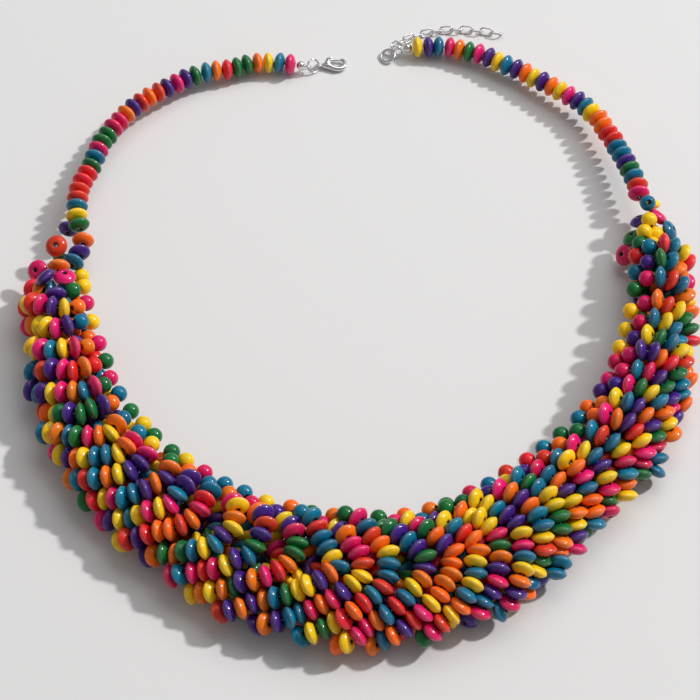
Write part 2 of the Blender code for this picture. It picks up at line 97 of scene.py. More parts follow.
# Collar sections from the wearer's right end, round the front, to the left end: the inner edge
# across and forward, then width, height, lean and sweep, all as shares of the collar's sizes.
COLLAR_SECTIONS = [
    (-0.970, -0.360, 0.190, 0.60, 0.00, 0.00),
    (-0.985, -0.110, 0.400, 0.72, 0.15, 0.40),
    (-0.915, 0.180, 0.505, 0.84, 0.22, 0.65),
    (-0.785, 0.520, 0.630, 0.90, 0.33, 0.78),
    (-0.540, 0.795, 0.790, 0.96, 0.55, 0.92),
    (-0.200, 0.975, 1.000, 1.00, 1.12, 1.22),
    (0.180, 0.995, 1.035, 1.00, 1.03, 0.70),
    (0.530, 0.795, 0.800, 0.98, 0.65, 0.42),
    (0.800, 0.505, 0.670, 0.95, 0.43, 0.40),
    (0.950, 0.130, 0.510, 0.95, 0.30, 0.42),
    (1.000, -0.220, 0.405, 0.88, 0.22, 0.36),
    (0.995, -0.520, 0.190, 0.62, 0.00, 0.10),
]

# Where rows start along the inner edge, as shares of its length: the first, every fifth and
# the last.
ROW_STARTS = [0.070, 0.188, 0.290, 0.396, 0.499, 0.603, 0.715, 0.811, 0.926]

# The bead centres of one row in each tier, from the inner tip to the outer tail: share of the
# width, share of the height, and shares of the section's lean and sweep.
UPPER_PATH = [
    (0.062, 0.74, 0.00, 0.00),
    (0.140, 0.80, 0.32, 0.00),
    (0.225, 0.91, 0.68, 0.00),
    (0.310, 0.98, 0.91, 0.00),
    (0.400, 1.00, 1.00, 0.00),
    (0.500, 0.97, 1.08, 0.00),
    (0.600, 0.91, 1.12, 0.04),
    (0.710, 0.82, 1.12, 0.13),
    (0.820, 0.70, 1.08, 0.29),
    (0.905, 0.57, 1.04, 0.52),
    (0.965, 0.43, 1.00, 0.77),
    (1.000, 0.30, 1.00, 1.00),
]
MIDDLE_PATH = [
    (0.190, 0.50, 0.25, 0.00),
    (0.270, 0.56, 0.55, 0.00),
    (0.370, 0.60, 0.90, 0.00),
    (0.490, 0.58, 1.08, 0.00),
    (0.630, 0.51, 1.12, 0.08),
    (0.780, 0.41, 1.00, 0.34),
]
UNDER_PATH = [
    (0.200, 0.18, 0.30, 0.00),
    (0.330, 0.19, 0.75, 0.00),
    (0.480, 0.19, 1.06, 0.00),
    (0.650, 0.19, 1.10, 0.10),
    (0.810, 0.19, 1.00, 0.38),
    (0.930, 0.19, 1.00, 0.66),
]

# The rows on either side of this place, counted from the first, lie apart. That fades over a
# number of rows and is widest in mid-row. Tips stand inwards over a share of the width.
PARTING_ROW = 15.5
PARTING_SPREAD = 2.2
PARTING_REACH = 1.1
TIP_SHARE = 0.25

# Loose beads at the collar's two ends: colour, form, place and the way their holes point.
LOOSE_BEADS = [
    ("r", "saucer", (-0.1067, 0.0242, 0.0100), (-0.2, -0.5, 0.84)),
    ("o", "saucer", (-0.0977, 0.0277, 0.0095), (0.0, 1.0, -0.1)),
    ("p", "saucer", (-0.0989, 0.0225, 0.0090), (-0.15, 1.0, -0.1)),
    ("t", "saucer", (-0.1001, 0.0181, 0.0085), (0.3, 1.0, -0.1)),
    ("o", "saucer", (-0.1051, 0.0140, 0.0130), (0.0, 1.0, 0.1)),
    ("m", "saucer", (-0.1028, 0.0067, 0.0140), (0.1, 0.45, 0.9)),
    ("m", "saucer", (-0.1132, 0.0129, 0.0090), (-0.45, -0.35, 0.8)),
    ("p", "saucer", (-0.1094, 0.0061, 0.0125), (-0.6, 0.5, 0.5)),
    ("p", "saucer", (-0.1049, 0.0007, 0.0135), (-0.1, 1.0, 0.2)),
    ("y", "round", (-0.0984, 0.0155, 0.0060), (0.0, 1.0, 0.0)),
    ("p", "saucer", (-0.1033, 0.0343, 0.0075), (0.1, 1.0, 0.0)),
    ("g", "saucer", (-0.1053, 0.0229, 0.0055), (0.2, 0.9, 0.2)),
    ("y", "saucer", (0.1055, 0.0427, 0.0110), (0.1, 0.7, 0.7)),
    ("t", "round", (0.1040, 0.0399, 0.0155), (0.0, -0.5, 0.86)),
    ("m", "saucer", (0.1078, 0.0368, 0.0110), (0.6, 0.6, 0.5)),
    ("p", "saucer", (0.1021, 0.0375, 0.0080), (-0.4, 0.6, 0.6)),
    ("y", "round", (0.1039, 0.0320, 0.0150), (0.0, 1.0, 0.0)),
    ("t", "saucer", (0.1110, 0.0308, 0.0110), (0.8, 0.1, 0.5)),
    ("y", "round", (0.1030, 0.0272, 0.0140), (0.0, 1.0, 0.0)),
    ("y", "round", (0.1054, 0.0269, 0.0130), (0.0, 1.0, 0.0)),
    ("o", "saucer", (0.1071, 0.0328, 0.0080), (0.5, 0.5, 0.6)),
    ("g", "saucer", (0.0981, 0.0279, 0.0090), (-0.5, 0.3, 0.8)),
    ("g", "round", (0.1006, 0.0227, 0.0140), (0.0, 1.0, 0.0)),
    ("y", "saucer", (0.1067, 0.0227, 0.0130), (0.75, 0.4, 0.5)),
    ("p", "saucer", (0.1109, 0.0237, 0.0090), (0.9, 0.2, 0.3)),
    ("m", "saucer", (0.0960, 0.0245, 0.0070), (-0.75, -0.2, 0.6)),
    ("y", "round", (0.1034, 0.0206, 0.0110), (0.0, 1.0, 0.0)),
]

# Chosen points of the two strings' and the chain's routes, from the findings outwards.
LEFT_STRING_ROUTE = [
    (-0.0230, 0.1140, 0.0041),
    (-0.0350, 0.1150, 0.0043),
    (-0.0470, 0.1118, 0.0048),
    (-0.0585, 0.1086, 0.0054),
    (-0.0687, 0.1024, 0.0061),
    (-0.0785, 0.0948, 0.0068),
    (-0.0864, 0.0855, 0.0076),
    (-0.0929, 0.0743, 0.0084),
    (-0.0966, 0.0620, 0.0093),
    (-0.1000, 0.0507, 0.0102),
    (-0.1006, 0.0400, 0.0110),
]
RIGHT_STRING_ROUTE = [
    (0.0213, 0.1226, 0.0041),
    (0.0343, 0.1225, 0.0043),
    (0.0458, 0.1188, 0.0048),
    (0.0567, 0.1126, 0.0054),
    (0.0672, 0.1058, 0.0061),
    (0.0765, 0.0984, 0.0068),
    (0.0855, 0.0903, 0.0076),
    (0.0911, 0.0805, 0.0084),
    (0.0953, 0.0706, 0.0093),
    (0.0985, 0.0612, 0.0102),
    (0.1012, 0.0525, 0.0109),
]
CHAIN_ROUTE = [
    (0.0170, 0.1272, 0.0022),
    (0.0219, 0.1305, 0.0013),
    (0.0292, 0.1330, 0.0013),
    (0.0371, 0.1340, 0.0013),
    (0.0455, 0.1335, 0.0013),
    (0.0577, 0.1315, 0.0013),
]

# Bead colours by letter, so that a string or the collar's row of tips reads as a word.
PAINTS = {
    "y": "yellow",
    "o": "orange",
    "r": "red",
    "m": "magenta",
    "p": "purple",
    "g": "green",
    "t": "teal",
}
LEFT_STRING_COLOURS = "mtyoggrotgpmprorpommggmtgrrrrtyg"
RIGHT_STRING_COLOURS = "yptmogmpytpoypoymptyoorrttpgtrm"
TIP_COLOURS = "ymymgmtgyggymttyogoygoogmtrrtgtopmmyyygtr"

# How common each colour is among the other beads, how often a colour repeats in its row, and how
# often one that lies beside it in the row before is passed over.
COLOUR_SHARES = "yyyyoooorrmmmpppggtttt"
REPEAT_CHANCE = 0.12
AVOID_CHANCE = 0.6

# Claw and lever of the clasp in its own plane, along and across as shares of its length and wide
# as a share of its thickness.
CLAW_SHAPE = [
    (0.135, 0.000, 0.58),
    (0.240, -0.010, 0.92),
    (0.380, -0.060, 1.00),
    (0.540, -0.170, 0.81),
    (0.700, -0.230, 0.73),
    (0.860, -0.210, 0.69),
    (0.970, -0.120, 0.65),
    (1.000, 0.010, 0.58),
    (0.975, 0.120, 0.54),
    (0.910, 0.185, 0.46),
    (0.850, 0.195, 0.42),
]
LEVER_SHAPE = [
    (0.390, 0.190, 0.62),
    (0.540, 0.218, 0.56),
    (0.690, 0.220, 0.48),
    (0.810, 0.205, 0.38),
]

# Half profile of each bead from inside its hole over the side to its widest line, as shares of
# the bead's radius and of half its thickness.
SAUCER_PROFILE = [(0.165, 0.70), (0.200, 0.92), (0.400, 0.95), (0.640, 0.79), (0.830, 0.52), (0.950, 0.24)]
ROUND_PROFILE = [(0.200, 0.76), (0.250, 0.94), (0.500, 0.866), (0.770, 0.640), (0.940, 0.340)]
BEAD_SIDES = 20


# Lines and surfaces


def catmull_rom(points, t):
    """Point at share t of a smooth curve through the points."""
    spans = len(points) - 1
    place = min(max(t, 0.0), 1.0) * spans
    i = min(int(place), spans - 1)
    f = place - i
    b = np.array(points[i], dtype=float)
    c = np.array(points[i + 1], dtype=float)
    a = np.array(points[i - 1], dtype=float) if i > 0 else b * 2.0 - c
    d = np.array(points[i + 2], dtype=float) if i + 2 <= spans else c * 2.0 - b
    return 0.5 * (
        b * 2.0 + (c - a) * f + (a * 2.0 - b * 5.0 + c * 4.0 - d) * f * f
        + (b * 3.0 - a - c * 3.0 + d) * f * f * f
    )


class Route:
    """Smooth curve through points that is measured by its length."""

    def __init__(self, points, steps=600):
        self.points = points
        self.steps = steps
        line = np.array([catmull_rom(points, k / steps) for k in range(steps + 1)])
        spans = np.linalg.norm(np.diff(line, axis=0), axis=1)
        self.lengths = np.concatenate([[0.0], np.cumsum(spans)])
        self.length = float(self.lengths[-1])

    def share(self, distance):
        return float(np.interp(distance, self.lengths, np.linspace(0.0, 1.0, self.steps + 1)))

    def at(self, distance):
        return Vector(catmull_rom(self.points, self.share(distance)))

    def direction(self, distance):
        step = self.length / self.steps
        ahead = self.at(min(distance + step, self.length))
        behind = self.at(max(distance - step, 0.0))
        return (ahead - behind).normalized()


class Collar:
    """Where the collar's rows of beads run, from its sections and its sizes."""

    def __init__(self, sizes, rim):
        self.sizes = sizes
        self.rim = rim
        edge = [(a * sizes.neck_half_width, -f * sizes.neck_reach, 0.0) for a, f, *_ in COLLAR_SECTIONS]
        self.edge = Route(edge)
        self.rows = sizes.row_count

    def start(self, row):
        """Length along the inner edge where a row starts, counted from the wearer's right."""
        return float(catmull_rom(ROW_STARTS, row / (self.rows - 1))) * self.edge.length

    def section(self, s):
        shares = catmull_rom([row[2:] for row in COLLAR_SECTIONS], self.edge.share(s))
        sizes = self.sizes
        return (
            shares[0] * sizes.front_width,
            shares[1] * sizes.front_height,
            shares[2] * sizes.row_lean,
            shares[3] * sizes.row_sweep,
        )

    def place(self, s, out, up):
        """Point at length s, a distance out from the inner edge and up from the table."""
        inside = min(max(s, 0.0), self.edge.length)
        along = self.edge.direction(inside)
        point = self.edge.at(inside) + along * (s - inside)
        outward = Vector((along.y, -along.x, 0.0))
        return Vector((point.x, point.y, 0.0)) + outward * out + Vector((0.0, 0.0, up))

    def row(self, s, path, shift=0.0, steps=80):
        """Evenly listed points of a tier's row that starts at length s, its middle shifted."""
        width, height, lean, sweep = self.section(s)
        narrow = max(0.0, 1.0 - width / self.sizes.front_width)
        line = []
        for k in range(steps + 1):
            out, up, lean_share, sweep_share = catmull_rom(path, k / steps)
            along = s + lean_share * lean - sweep_share * sweep
            along += shift * math.sin(math.pi * min(out * PARTING_REACH, 1.0))
            inward = self.sizes.tip_reach * narrow * max(0.0, 1.0 - out / TIP_SHARE)
            line.append(self.place(along, out * (width - self.rim) - inward, up * (height - self.rim)))
        return line


def along_line(line, distances):
    """Points of a listed line at the given distances from its start."""
    points = np.array([tuple(p) for p in line])
    lengths = np.concatenate([[0.0], np.cumsum(np.linalg.norm(np.diff(points, axis=0), axis=1))])
    return np.stack([np.interp(distances, lengths, points[:, k]) for k in range(3)], axis=1)


def line_length(line):
    return sum((b - a).length for a, b in zip(line, line[1:]))


def ring_frame(centre, along, roll):
    """Placement whose X axis is along and whose Z axis leans from upright by roll."""
    x = along.normalized()
    side = Vector((0.0, 0.0, 1.0)).cross(x).normalized()
    z = Matrix.Rotation(roll, 3, x) @ x.cross(side)
    y = z.cross(x)
    placed = Matrix((x, y, z)).transposed().to_4x4()
    placed.translation = centre
    return placed


# Meshes


def new_piece(name, vertices, faces, materials, body, nodes):
    """A smooth mesh object that stands for the given nodes of the frame."""
    mesh = bpy.data.meshes.new(name)
    mesh.from_pydata([tuple(v) for v in vertices], [], faces)
    mesh.update()
    mesh.shade_smooth()
    obj = bpy.data.objects.new(name, mesh)
    bpy.context.scene.collection.objects.link(obj)
    for material in materials:
        mesh.materials.append(material)
    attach(obj, body)
    if nodes:
        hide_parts(*nodes)
    return obj


def lathe(profile, sides):
    """Vertices and faces of a closed profile turned about Z."""
    vertices = []
    faces = []
    count = len(profile)
    for k in range(sides):
        turn = 2.0 * math.pi * k / sides
        for radius, height in profile:
            vertices.append((radius * math.cos(turn), radius * math.sin(turn), height))
    for k in range(sides):
        near = k * count
        far = ((k + 1) % sides) * count
        for j in range(count):
            after = (j + 1) % count
            faces.append((near + j, far + j, far + after, near + after))
    return np.array(vertices), faces


def tube(points, radii, sides, closed):
    """Vertices and faces of a round bar along the points."""
    points = [Vector(p) for p in points]
    count = len(points)
    tangents = []
    for k in range(count):
        ahead = points[(k + 1) % count] if closed or k + 1 < count else points[k]
        behind = points[k - 1] if closed or k > 0 else points[k]
        tangents.append((ahead - behind).normalized())
    normal = tangents[0].orthogonal().normalized()
    normals = []
    for tangent in tangents:
        normal = (normal - tangent * normal.dot(tangent)).normalized()
        normals.append(normal.copy())
    twist = 0.0
    if closed:
        last = (normals[-1] - tangents[0] * normals[-1].dot(tangents[0])).normalized()
        twist = math.atan2(last.cross(normals[0]).dot(tangents[0]), last.dot(normals[0]))
    vertices = []
    faces = []
    for k, (point, tangent, radius) in enumerate(zip(points, tangents, radii)):
        base = Matrix.Rotation(twist * k / count, 3, tangent) @ normals[k]
        other = tangent.cross(base)
        for j in range(sides):
            turn = 2.0 * math.pi * j / sides
            vertices.append(point + (base * math.cos(turn) + other * math.sin(turn)) * radius)
    for k in range(count if closed else count - 1):
        near = k * sides
        far = ((k + 1) % count) * sides
        for j in range(sides):
            after = (j + 1) % sides
            faces.append((near + j, near + after, far + after, far + j))
    if not closed:
        faces.append(tuple(reversed(range(sides))))
        faces.append(tuple(range((count - 1) * sides, count * sides)))
    return vertices, faces


class Gathered:
    """Shapes gathered into one mesh, with an optional material index for each face."""

    def __init__(self):
        self.vertices = []
        self.faces = []
        self.indices = []
        self.locals = []

    def add(self, vertices, faces, matrix=None, index=0, local=None):
        start = len(self.vertices)
        if matrix is not None:
            vertices = [matrix @ Vector(v) for v in vertices]
        self.vertices.extend(tuple(v) for v in vertices)
        self.faces.extend(tuple(start + i for i in face) for face in faces)
        self.indices.extend([index] * len(faces))
        if local is not None:
            self.locals.extend(local)

    def piece(self, name, materials, nodes, slot, body=BODY):
        if not self.faces:
            raise RuntimeError("nothing was built for " + name)
        obj = new_piece(name, self.vertices, self.faces, materials, body, nodes)
        obj.data.polygons.foreach_set("material_index", self.indices)
        if self.locals:
            layer = obj.data.attributes.new("bead_place", "FLOAT_VECTOR", "POINT")
            layer.data.foreach_set("vector", np.array(self.locals, dtype=np.float32).ravel())
        return obj


# Beads


class Bead:
    """One bead's place on its thread."""

    def __init__(self, centre, round_bead, colour, row, spin):
        self.centre = centre
        self.round = round_bead
        self.colour = colour
        self.row = row
        self.spin = spin
        self.axis = None
        self.hold = SINGLE_HOLD
        self.loose = False
        self.tier = "upper"
        self.left = centre.x < 0.0


def bead_shapes(sizes):
    """Ready turned saucer and round bead."""
    shapes = {}
    hole = sizes.hole_diameter / 2.0
    for name, profile, diameter, thickness in (
        ("saucer", SAUCER_PROFILE, sizes.saucer_diameter, sizes.saucer_thickness),
        ("round", ROUND_PROFILE, sizes.round_diameter, sizes.round_diameter),
    ):
        half = [(r * diameter / 2.0, h * thickness / 2.0) for r, h in profile]
        half[0] = (hole, half[0][1])
        half[1] = (max(hole * 1.2, half[1][0]), half[1][1])
        whole = half + [(diameter / 2.0, 0.0)] + [(r, -h) for r, h in reversed(half)]
        vertices, faces = lathe(whole, BEAD_SIDES)
        local = vertices / MM
        if name == "round":
            local[:, 2] *= ROUND_PATTERN_SHARE
        shapes[name] = (vertices, faces, local)
    return shapes


def gather_beads(beads, shapes):
    """All beads as one shape, each turned to its thread."""
    letters = list(PAINTS)
    gathered = Gathered()
    for bead in beads:
        vertices, faces, local = shapes["round" if bead.round else "saucer"]
        turn = bead.axis.to_track_quat("Z", "Y").to_matrix()
        matrix = np.array(turn @ Matrix.Rotation(bead.spin, 3, "Z"))
        placed = vertices @ matrix.T + np.array(bead.centre)
        gathered.add(placed, faces, index=letters.index(bead.colour), local=local)
    return gathered


def reach(axis, direction, half_thickness, radius):
    """How far beads reach along a direction, as ellipsoids about their axes."""
    cosine = np.sum(axis * direction, axis=-1)
    return np.sqrt((half_thickness * cosine) ** 2 + radius ** 2 * (1.0 - cosine ** 2))


def settle(beads, sizes, ceiling, rounds=70):
    """Push beads of different rows out of each other, and keep each row's spacing."""
    count = len(beads)
    place = np.array([tuple(b.centre) for b in beads])
    target = place.copy()
    row = np.array([b.row for b in beads])
    ball = np.array([b.round for b in beads])
    half = np.where(ball, sizes.round_diameter, sizes.saucer_thickness) / 2.0
    radius = np.where(ball, sizes.round_diameter, sizes.saucer_diameter) / 2.0
    same = row[:, None] == row[None, :]
    follows = np.flatnonzero(row[:-1] == row[1:])
    spacing = half[follows] + half[follows + 1]
    given = np.array([tuple(b.axis or (0.0, 0.0, 1.0)) for b in beads])
    hold = np.array([b.hold for b in beads])[:, None]
    axis = row_axes(place, row, given)
    upright = np.array([0.0, 0.0, 1.0])
    for step in range(rounds):
        if step % TURN_ROUNDS == TURN_ROUNDS - 1:
            axis = row_axes(place, row, given)
        apart = place[None, :, :] - place[:, None, :]
        distance = np.linalg.norm(apart, axis=2)
        near = (distance < TOUCH_DISTANCE) & (distance > 1e-6) & ~same
        i, j = np.nonzero(np.triu(near))
        line = apart[i, j] / distance[i, j][:, None]
        need = reach(axis[i], line, half[i], radius[i]) + reach(axis[j], line, half[j], radius[j])
        push = np.clip(need * PACKING - distance[i, j], 0.0, None)[:, None] * line * PUSH_SHARE
        move = np.zeros((count, 3))
        np.add.at(move, i, -push)
        np.add.at(move, j, push)
        place = place + np.clip(move, -LARGEST_MOVE, LARGEST_MOVE)
        gap = place[follows + 1] - place[follows]
        length = np.linalg.norm(gap, axis=1)
        mend = ((length - spacing) / length)[:, None] * gap * MEND_SHARE
        np.add.at(place, follows, mend)
        np.add.at(place, follows + 1, -mend)
        place = place + (target - place) * hold
        tall = reach(axis, upright, half, radius)
        place[:, 2] = np.clip(place[:, 2], tall + BEAD_CLEARANCE, ceiling - tall)
    axis = row_axes(place, row, given)
    for k, bead in enumerate(beads):
        bead.centre = Vector(place[k])
        bead.axis = Vector(axis[k])
    return beads


def row_axes(place, row, given):
    """Direction of the thread at every bead, or the given one where a bead lies alone."""
    axis = np.zeros_like(place)
    starts = np.flatnonzero(np.concatenate([[True], row[1:] != row[:-1]]))
    ends = np.concatenate([starts[1:], [len(row)]])
    for start, end in zip(starts, ends):
        points = place[start:end]
        if len(points) == 1:
            axis[start] = given[start]
            continue
        axis[start:end] = np.gradient(points, axis=0)
    return axis / np.linalg.norm(axis, axis=1)[:, None]


def tilted(axis, dice, degrees):
    """The axis, turned a little in a seeded direction."""
    lean = axis.orthogonal().normalized()
    lean.rotate(Matrix.Rotation(dice.uniform(0.0, 2.0 * math.pi), 3, axis))
    return (axis + lean * math.tan(math.radians(dice.uniform(0.0, degrees)))).normalized()


def next_colour(dice, last, beside):
    """A colour that now and then repeats the one before it, and seldom the one beside it."""
    if last and dice.random() < REPEAT_CHANCE:
        return last
    pick = dice.choice(COLOUR_SHARES)
    while pick == last or (pick == beside and dice.random() < AVOID_CHANCE):
        pick = dice.choice(COLOUR_SHARES)
    return pick


def wandering(line, dice):
    """The line with slow, seeded bends sideways and up, as slack threads have."""
    bends = [(dice.uniform(0.5, 1.6), dice.uniform(0.0, ANY_TURN)) for _ in range(3)]
    moved = []
    for k, point in enumerate(line):
        share = k / (len(line) - 1)
        ease = min(1.0, share * 4.0)
        offset = [THREAD_WANDER * ease * math.sin(ANY_TURN * rate * share + phase) for rate, phase in bends]
        moved.append(point + Vector((offset[0], offset[1], offset[2] * 0.7)))
    return moved


def tier_row(collar, s, path, shift, sizes, dice, row, tip, beside, first_rounds):
    """Beads of one row, evenly threaded along its path."""
    line = wandering(collar.row(s, path, shift), dice)
    length = line_length(line)
    ball = sizes.round_diameter
    places = [k * ball for k in range(first_rounds)]
    here = (places[-1] + (ball + sizes.saucer_thickness) / 2.0) if places else 0.0
    while here < length:
        places.append(here)
        here += sizes.saucer_thickness
    points = along_line(line, places)
    beads = []
    last = tip
    for k, point in enumerate(points):
        colour = tip if k == 0 and tip else next_colour(dice, last, beside[k] if k < len(beside) else None)
        last = colour
        bead = Bead(Vector(point), k < first_rounds, colour, row, dice.uniform(0.0, ANY_TURN))
        wander = BEAD_WANDER if k > 1 else TIP_WANDER
        bead.centre += Vector([dice.uniform(-wander, wander) for _ in range(3)])
        bead.hold = TIP_HOLD if tip and k == 0 else ROW_HOLD
        bead.loose = k >= len(points) - 2
        beads.append(bead)
    return beads


def collar_beads(collar, sizes, layout):
    """Every bead of the collar, tier by tier and row by row, settled together."""
    dice = random.Random(layout.seed)
    beads = []
    tiers = (
        ("upper", UPPER_PATH, 0.0, 2),
        ("middle", MIDDLE_PATH, 0.5, 1),
        ("under", UNDER_PATH, 0.5, 0),
    )
    row = 0
    for tier, path, offset, rounds in tiers:
        beside = []
        for k in range(collar.rows - math.ceil(offset)):
            tip = TIP_COLOURS[k % len(TIP_COLOURS)] if tier == "upper" else None
            start = collar.start(k + offset) + dice.uniform(-ROW_WOBBLE, ROW_WOBBLE)
            away = k + offset - PARTING_ROW
            shift = math.copysign(layout.parting * math.exp(-abs(away) / PARTING_SPREAD), away)
            made = tier_row(collar, start, path, shift, sizes, dice, row, tip, beside, rounds)
            beside = [b.colour for b in made]
            for bead in made:
                bead.tier = tier
                bead.left = k < collar.rows // 2
            beads.extend(made)
            row += 1
    for letter, form, place, axis in LOOSE_BEADS:
        bead = Bead(Vector(place), form == "round", letter, row, dice.uniform(0.0, ANY_TURN))
        bead.axis = Vector(axis).normalized()
        beads.append(bead)
        row += 1
    settle(beads, sizes, layout.front_height + HEIGHT_CLEARANCE)
    for bead in beads:
        bead.centre += ROUTE_ORIGIN
        bead.axis = tilted(bead.axis, dice, TAIL_TILT if bead.loose else BEAD_TILT)
    return beads


def string_beads(route, colours, sizes, dice):
    """One bead after another from the findings to the collar."""
    usable = route.length - PIECE_GAP
    count = max(2, round(usable / sizes.saucer_thickness))
    pitch = usable / count
    beads = []
    for k in range(count):
        centre = route.at((k + 0.5) * pitch) + ROUTE_ORIGIN
        centre += Vector([dice.uniform(-STRING_WANDER, STRING_WANDER) for _ in range(3)])
        bead = Bead(centre, False, colours[k % len(colours)], 0, dice.uniform(0.0, ANY_TURN))
        bead.axis = tilted(route.direction((k + 0.5) * pitch), dice, STRING_TILT)
        beads.append(bead)
    return beads


# Materials


class Wiring:
    """Short calls for adding and joining nodes in one tree."""

    def __init__(self, tree):
        self.tree = tree
        self.column = 0

    def node(self, kind, **settings):
        made = self.tree.nodes.new(kind)
        made.location = (self.column * 190 - 900, 200 - (self.column % 4) * 130)
        self.column += 1
        for key, value in settings.items():
            setattr(made, key, value)
        return made

    def join(self, source, target):
        self.tree.links.new(source, target)

    def set(self, socket, value):
        """Join a socket to the target, or set it as a plain number or colour."""
        if hasattr(value, "is_output"):
            self.join(value, socket)
        else:
            socket.default_value = value

    def math(self, operation, a, b=0.0, clamp=False):
        made = self.node("ShaderNodeMath", operation=operation, use_clamp=clamp)
        self.set(made.inputs[0], a)
        self.set(made.inputs[1], b)
        return made.outputs[0]

    def span(self, value, low, high, to_low=0.0, to_high=1.0):
        made = self.node("ShaderNodeMapRange", clamp=True)
        self.set(made.inputs["Value"], value)
        limits = {"From Min": low, "From Max": high, "To Min": to_low, "To Max": to_high}
        for label, number in limits.items():
            self.set(made.inputs[label], number)
        return made.outputs["Result"]

    def mix(self, share, a, b, blend="MIX"):
        made = self.node("ShaderNodeMix", data_type="RGBA", blend_type=blend)
        colours = [s for s in made.inputs if s.type == "RGBA"]
        self.set(made.inputs["Factor"], share)
        self.set(colours[0], a)
        self.set(colours[1], b)
        return [s for s in made.outputs if s.type == "RGBA"][0]

    def noise(self, vector, scale, detail=2.0, roughness=0.5):
        made = self.node("ShaderNodeTexNoise")
        self.join(vector, made.inputs["Vector"])
        made.inputs["Scale"].default_value = scale
        made.inputs["Detail"].default_value = detail
        made.inputs["Roughness"].default_value = roughness
        return made.outputs["Fac"]

    def bump(self, height, strength, distance):
        made = self.node("ShaderNodeBump")
        made.inputs["Strength"].default_value = strength
        made.inputs["Distance"].default_value = distance
        self.join(height, made.inputs["Height"])
        return made.outputs["Normal"]


def painted_wood(w, given):
    """Glossy paint on turned wood: tone by bead, brushed grain, chipped rims, a pale rim line that is
    partly wear and partly painted highlight, and painted shade in and round the holes.
    """
    place = w.node("ShaderNodeAttribute", attribute_name="bead_place").outputs["Vector"]
    island = w.node("ShaderNodeNewGeometry").outputs["Random Per Island"]

    shift = w.node("ShaderNodeVectorMath", operation="SCALE")
    shift.inputs[0].default_value = (61.0, 37.0, 83.0)
    w.join(island, shift.inputs["Scale"])
    moved = w.node("ShaderNodeVectorMath", operation="ADD")
    w.join(place, moved.inputs[0])
    w.join(shift.outputs[0], moved.inputs[1])
    stretched = w.node("ShaderNodeMapping")
    stretched.inputs["Scale"].default_value = (0.35, 2.2, 2.2)
    w.join(moved.outputs[0], stretched.inputs["Vector"])
    grain = w.noise(stretched.outputs[0], 1.3, 4.0, 0.6)
    cloud = w.noise(moved.outputs[0], 0.45, 2.0)
    speck = w.noise(moved.outputs[0], 3.2, 3.0, 0.7)

    parts = w.node("ShaderNodeSeparateXYZ")
    w.join(place, parts.inputs[0])
    squared = w.math("ADD", w.math("MULTIPLY", parts.outputs[0], parts.outputs[0]),
                     w.math("MULTIPLY", parts.outputs[1], parts.outputs[1]))
    radius = w.math("SQRT", squared)
    rim = w.span(radius, 3.45, 3.98)
    # Masks for the hole's wall and the paint round its mouth; both are darkened below as painted shade.
    hole = w.span(radius, 0.95, 0.70)
    painted_mouth_shade = w.math("MULTIPLY", w.span(radius, 1.35, 0.95), 0.45)

    tone = w.node("ShaderNodeHueSaturation")
    w.join(given.outputs["Paint"], tone.inputs["Color"])
    spread = w.math("MULTIPLY", w.math("SUBTRACT", island, 0.5), given.outputs["Tone spread"])
    w.join(w.math("ADD", spread, 1.0), tone.inputs["Value"])
    w.join(w.math("ADD", w.math("MULTIPLY", spread, -0.07), 0.5), tone.inputs["Hue"])
    deep = w.mix(w.span(cloud, 0.35, 0.7, 0.0, 0.22), tone.outputs[0], (0.02, 0.015, 0.02, 1.0))
    veins = w.math("MULTIPLY", w.span(grain, 0.45, 0.75), 0.16)
    grained = w.mix(veins, deep, (1.0, 0.95, 0.85, 1.0), "SOFT_LIGHT")
    # Pale line along the rim: partly wear, partly a painted highlight along the rim's ridge.
    thin = w.mix(w.math("MULTIPLY", rim, 0.05), grained, (1.0, 0.93, 0.80, 1.0))
    # Painted shade: the paint round the hole's mouth is darkened towards near-black.
    with_mouth_shade = w.mix(painted_mouth_shade, thin, (0.03, 0.02, 0.02, 1.0))
    chips = w.math("MULTIPLY", w.span(speck, 0.74, 0.78), w.span(rim, 0.2, 0.9))
    chipped = w.mix(w.math("MULTIPLY", chips, 0.55), with_mouth_shade, (0.70, 0.52, 0.34, 1.0))
    # Painted shade: the hole's wall is painted near-black brown over its bare wood.
    colour = w.mix(hole, chipped, (0.045, 0.028, 0.018, 1.0))

    gloss = w.span(cloud, 0.3, 0.75, 0.17, 0.28)
    gloss = w.math("ADD", gloss, w.math("MULTIPLY", hole, 0.5), clamp=True)
    height = w.math("MULTIPLY", grain, given.outputs["Grain"])
    height = w.math("ADD", height, w.math("MULTIPLY", speck, 0.25))
    return colour, gloss, w.bump(height, 0.35, 0.00012)


def polished_plating(w, given):
    """Plated wire and castings: faint drawing lines, handling scratches and dull cloudy patches."""
    place = w.node("ShaderNodeTexCoord").outputs["Object"]
    cloud = w.noise(place, 420.0, 3.0)
    fine = w.noise(place, 3200.0, 3.0, 0.6)
    dull = w.mix(w.span(cloud, 0.45, 0.75, 0.0, 0.35), given.outputs["Metal"], (0.42, 0.41, 0.42, 1.0))
    marks = w.math("MULTIPLY", w.span(fine, 0.55, 0.75), given.outputs["Scratches"])
    rough = w.math("ADD", w.span(cloud, 0.3, 0.8, 0.12, 0.26), w.math("MULTIPLY", marks, 0.12))
    return dull, rough, w.bump(fine, 0.18, 0.00004)


def pale_board(w, given):
    """Smooth pale board with a faint cloudiness."""
    place = w.node("ShaderNodeTexCoord").outputs["Object"]
    cloud = w.noise(place, 5.0, 2.0)
    fine = w.noise(place, 900.0, 2.0)
    shade = w.mix(w.span(cloud, 0.3, 0.7, 0.0, 0.06), given.outputs["Board"], (0.70, 0.70, 0.71, 1.0))
    return shade, w.span(fine, 0.3, 0.7, 0.52, 0.62), w.bump(fine, 0.08, 0.0001)


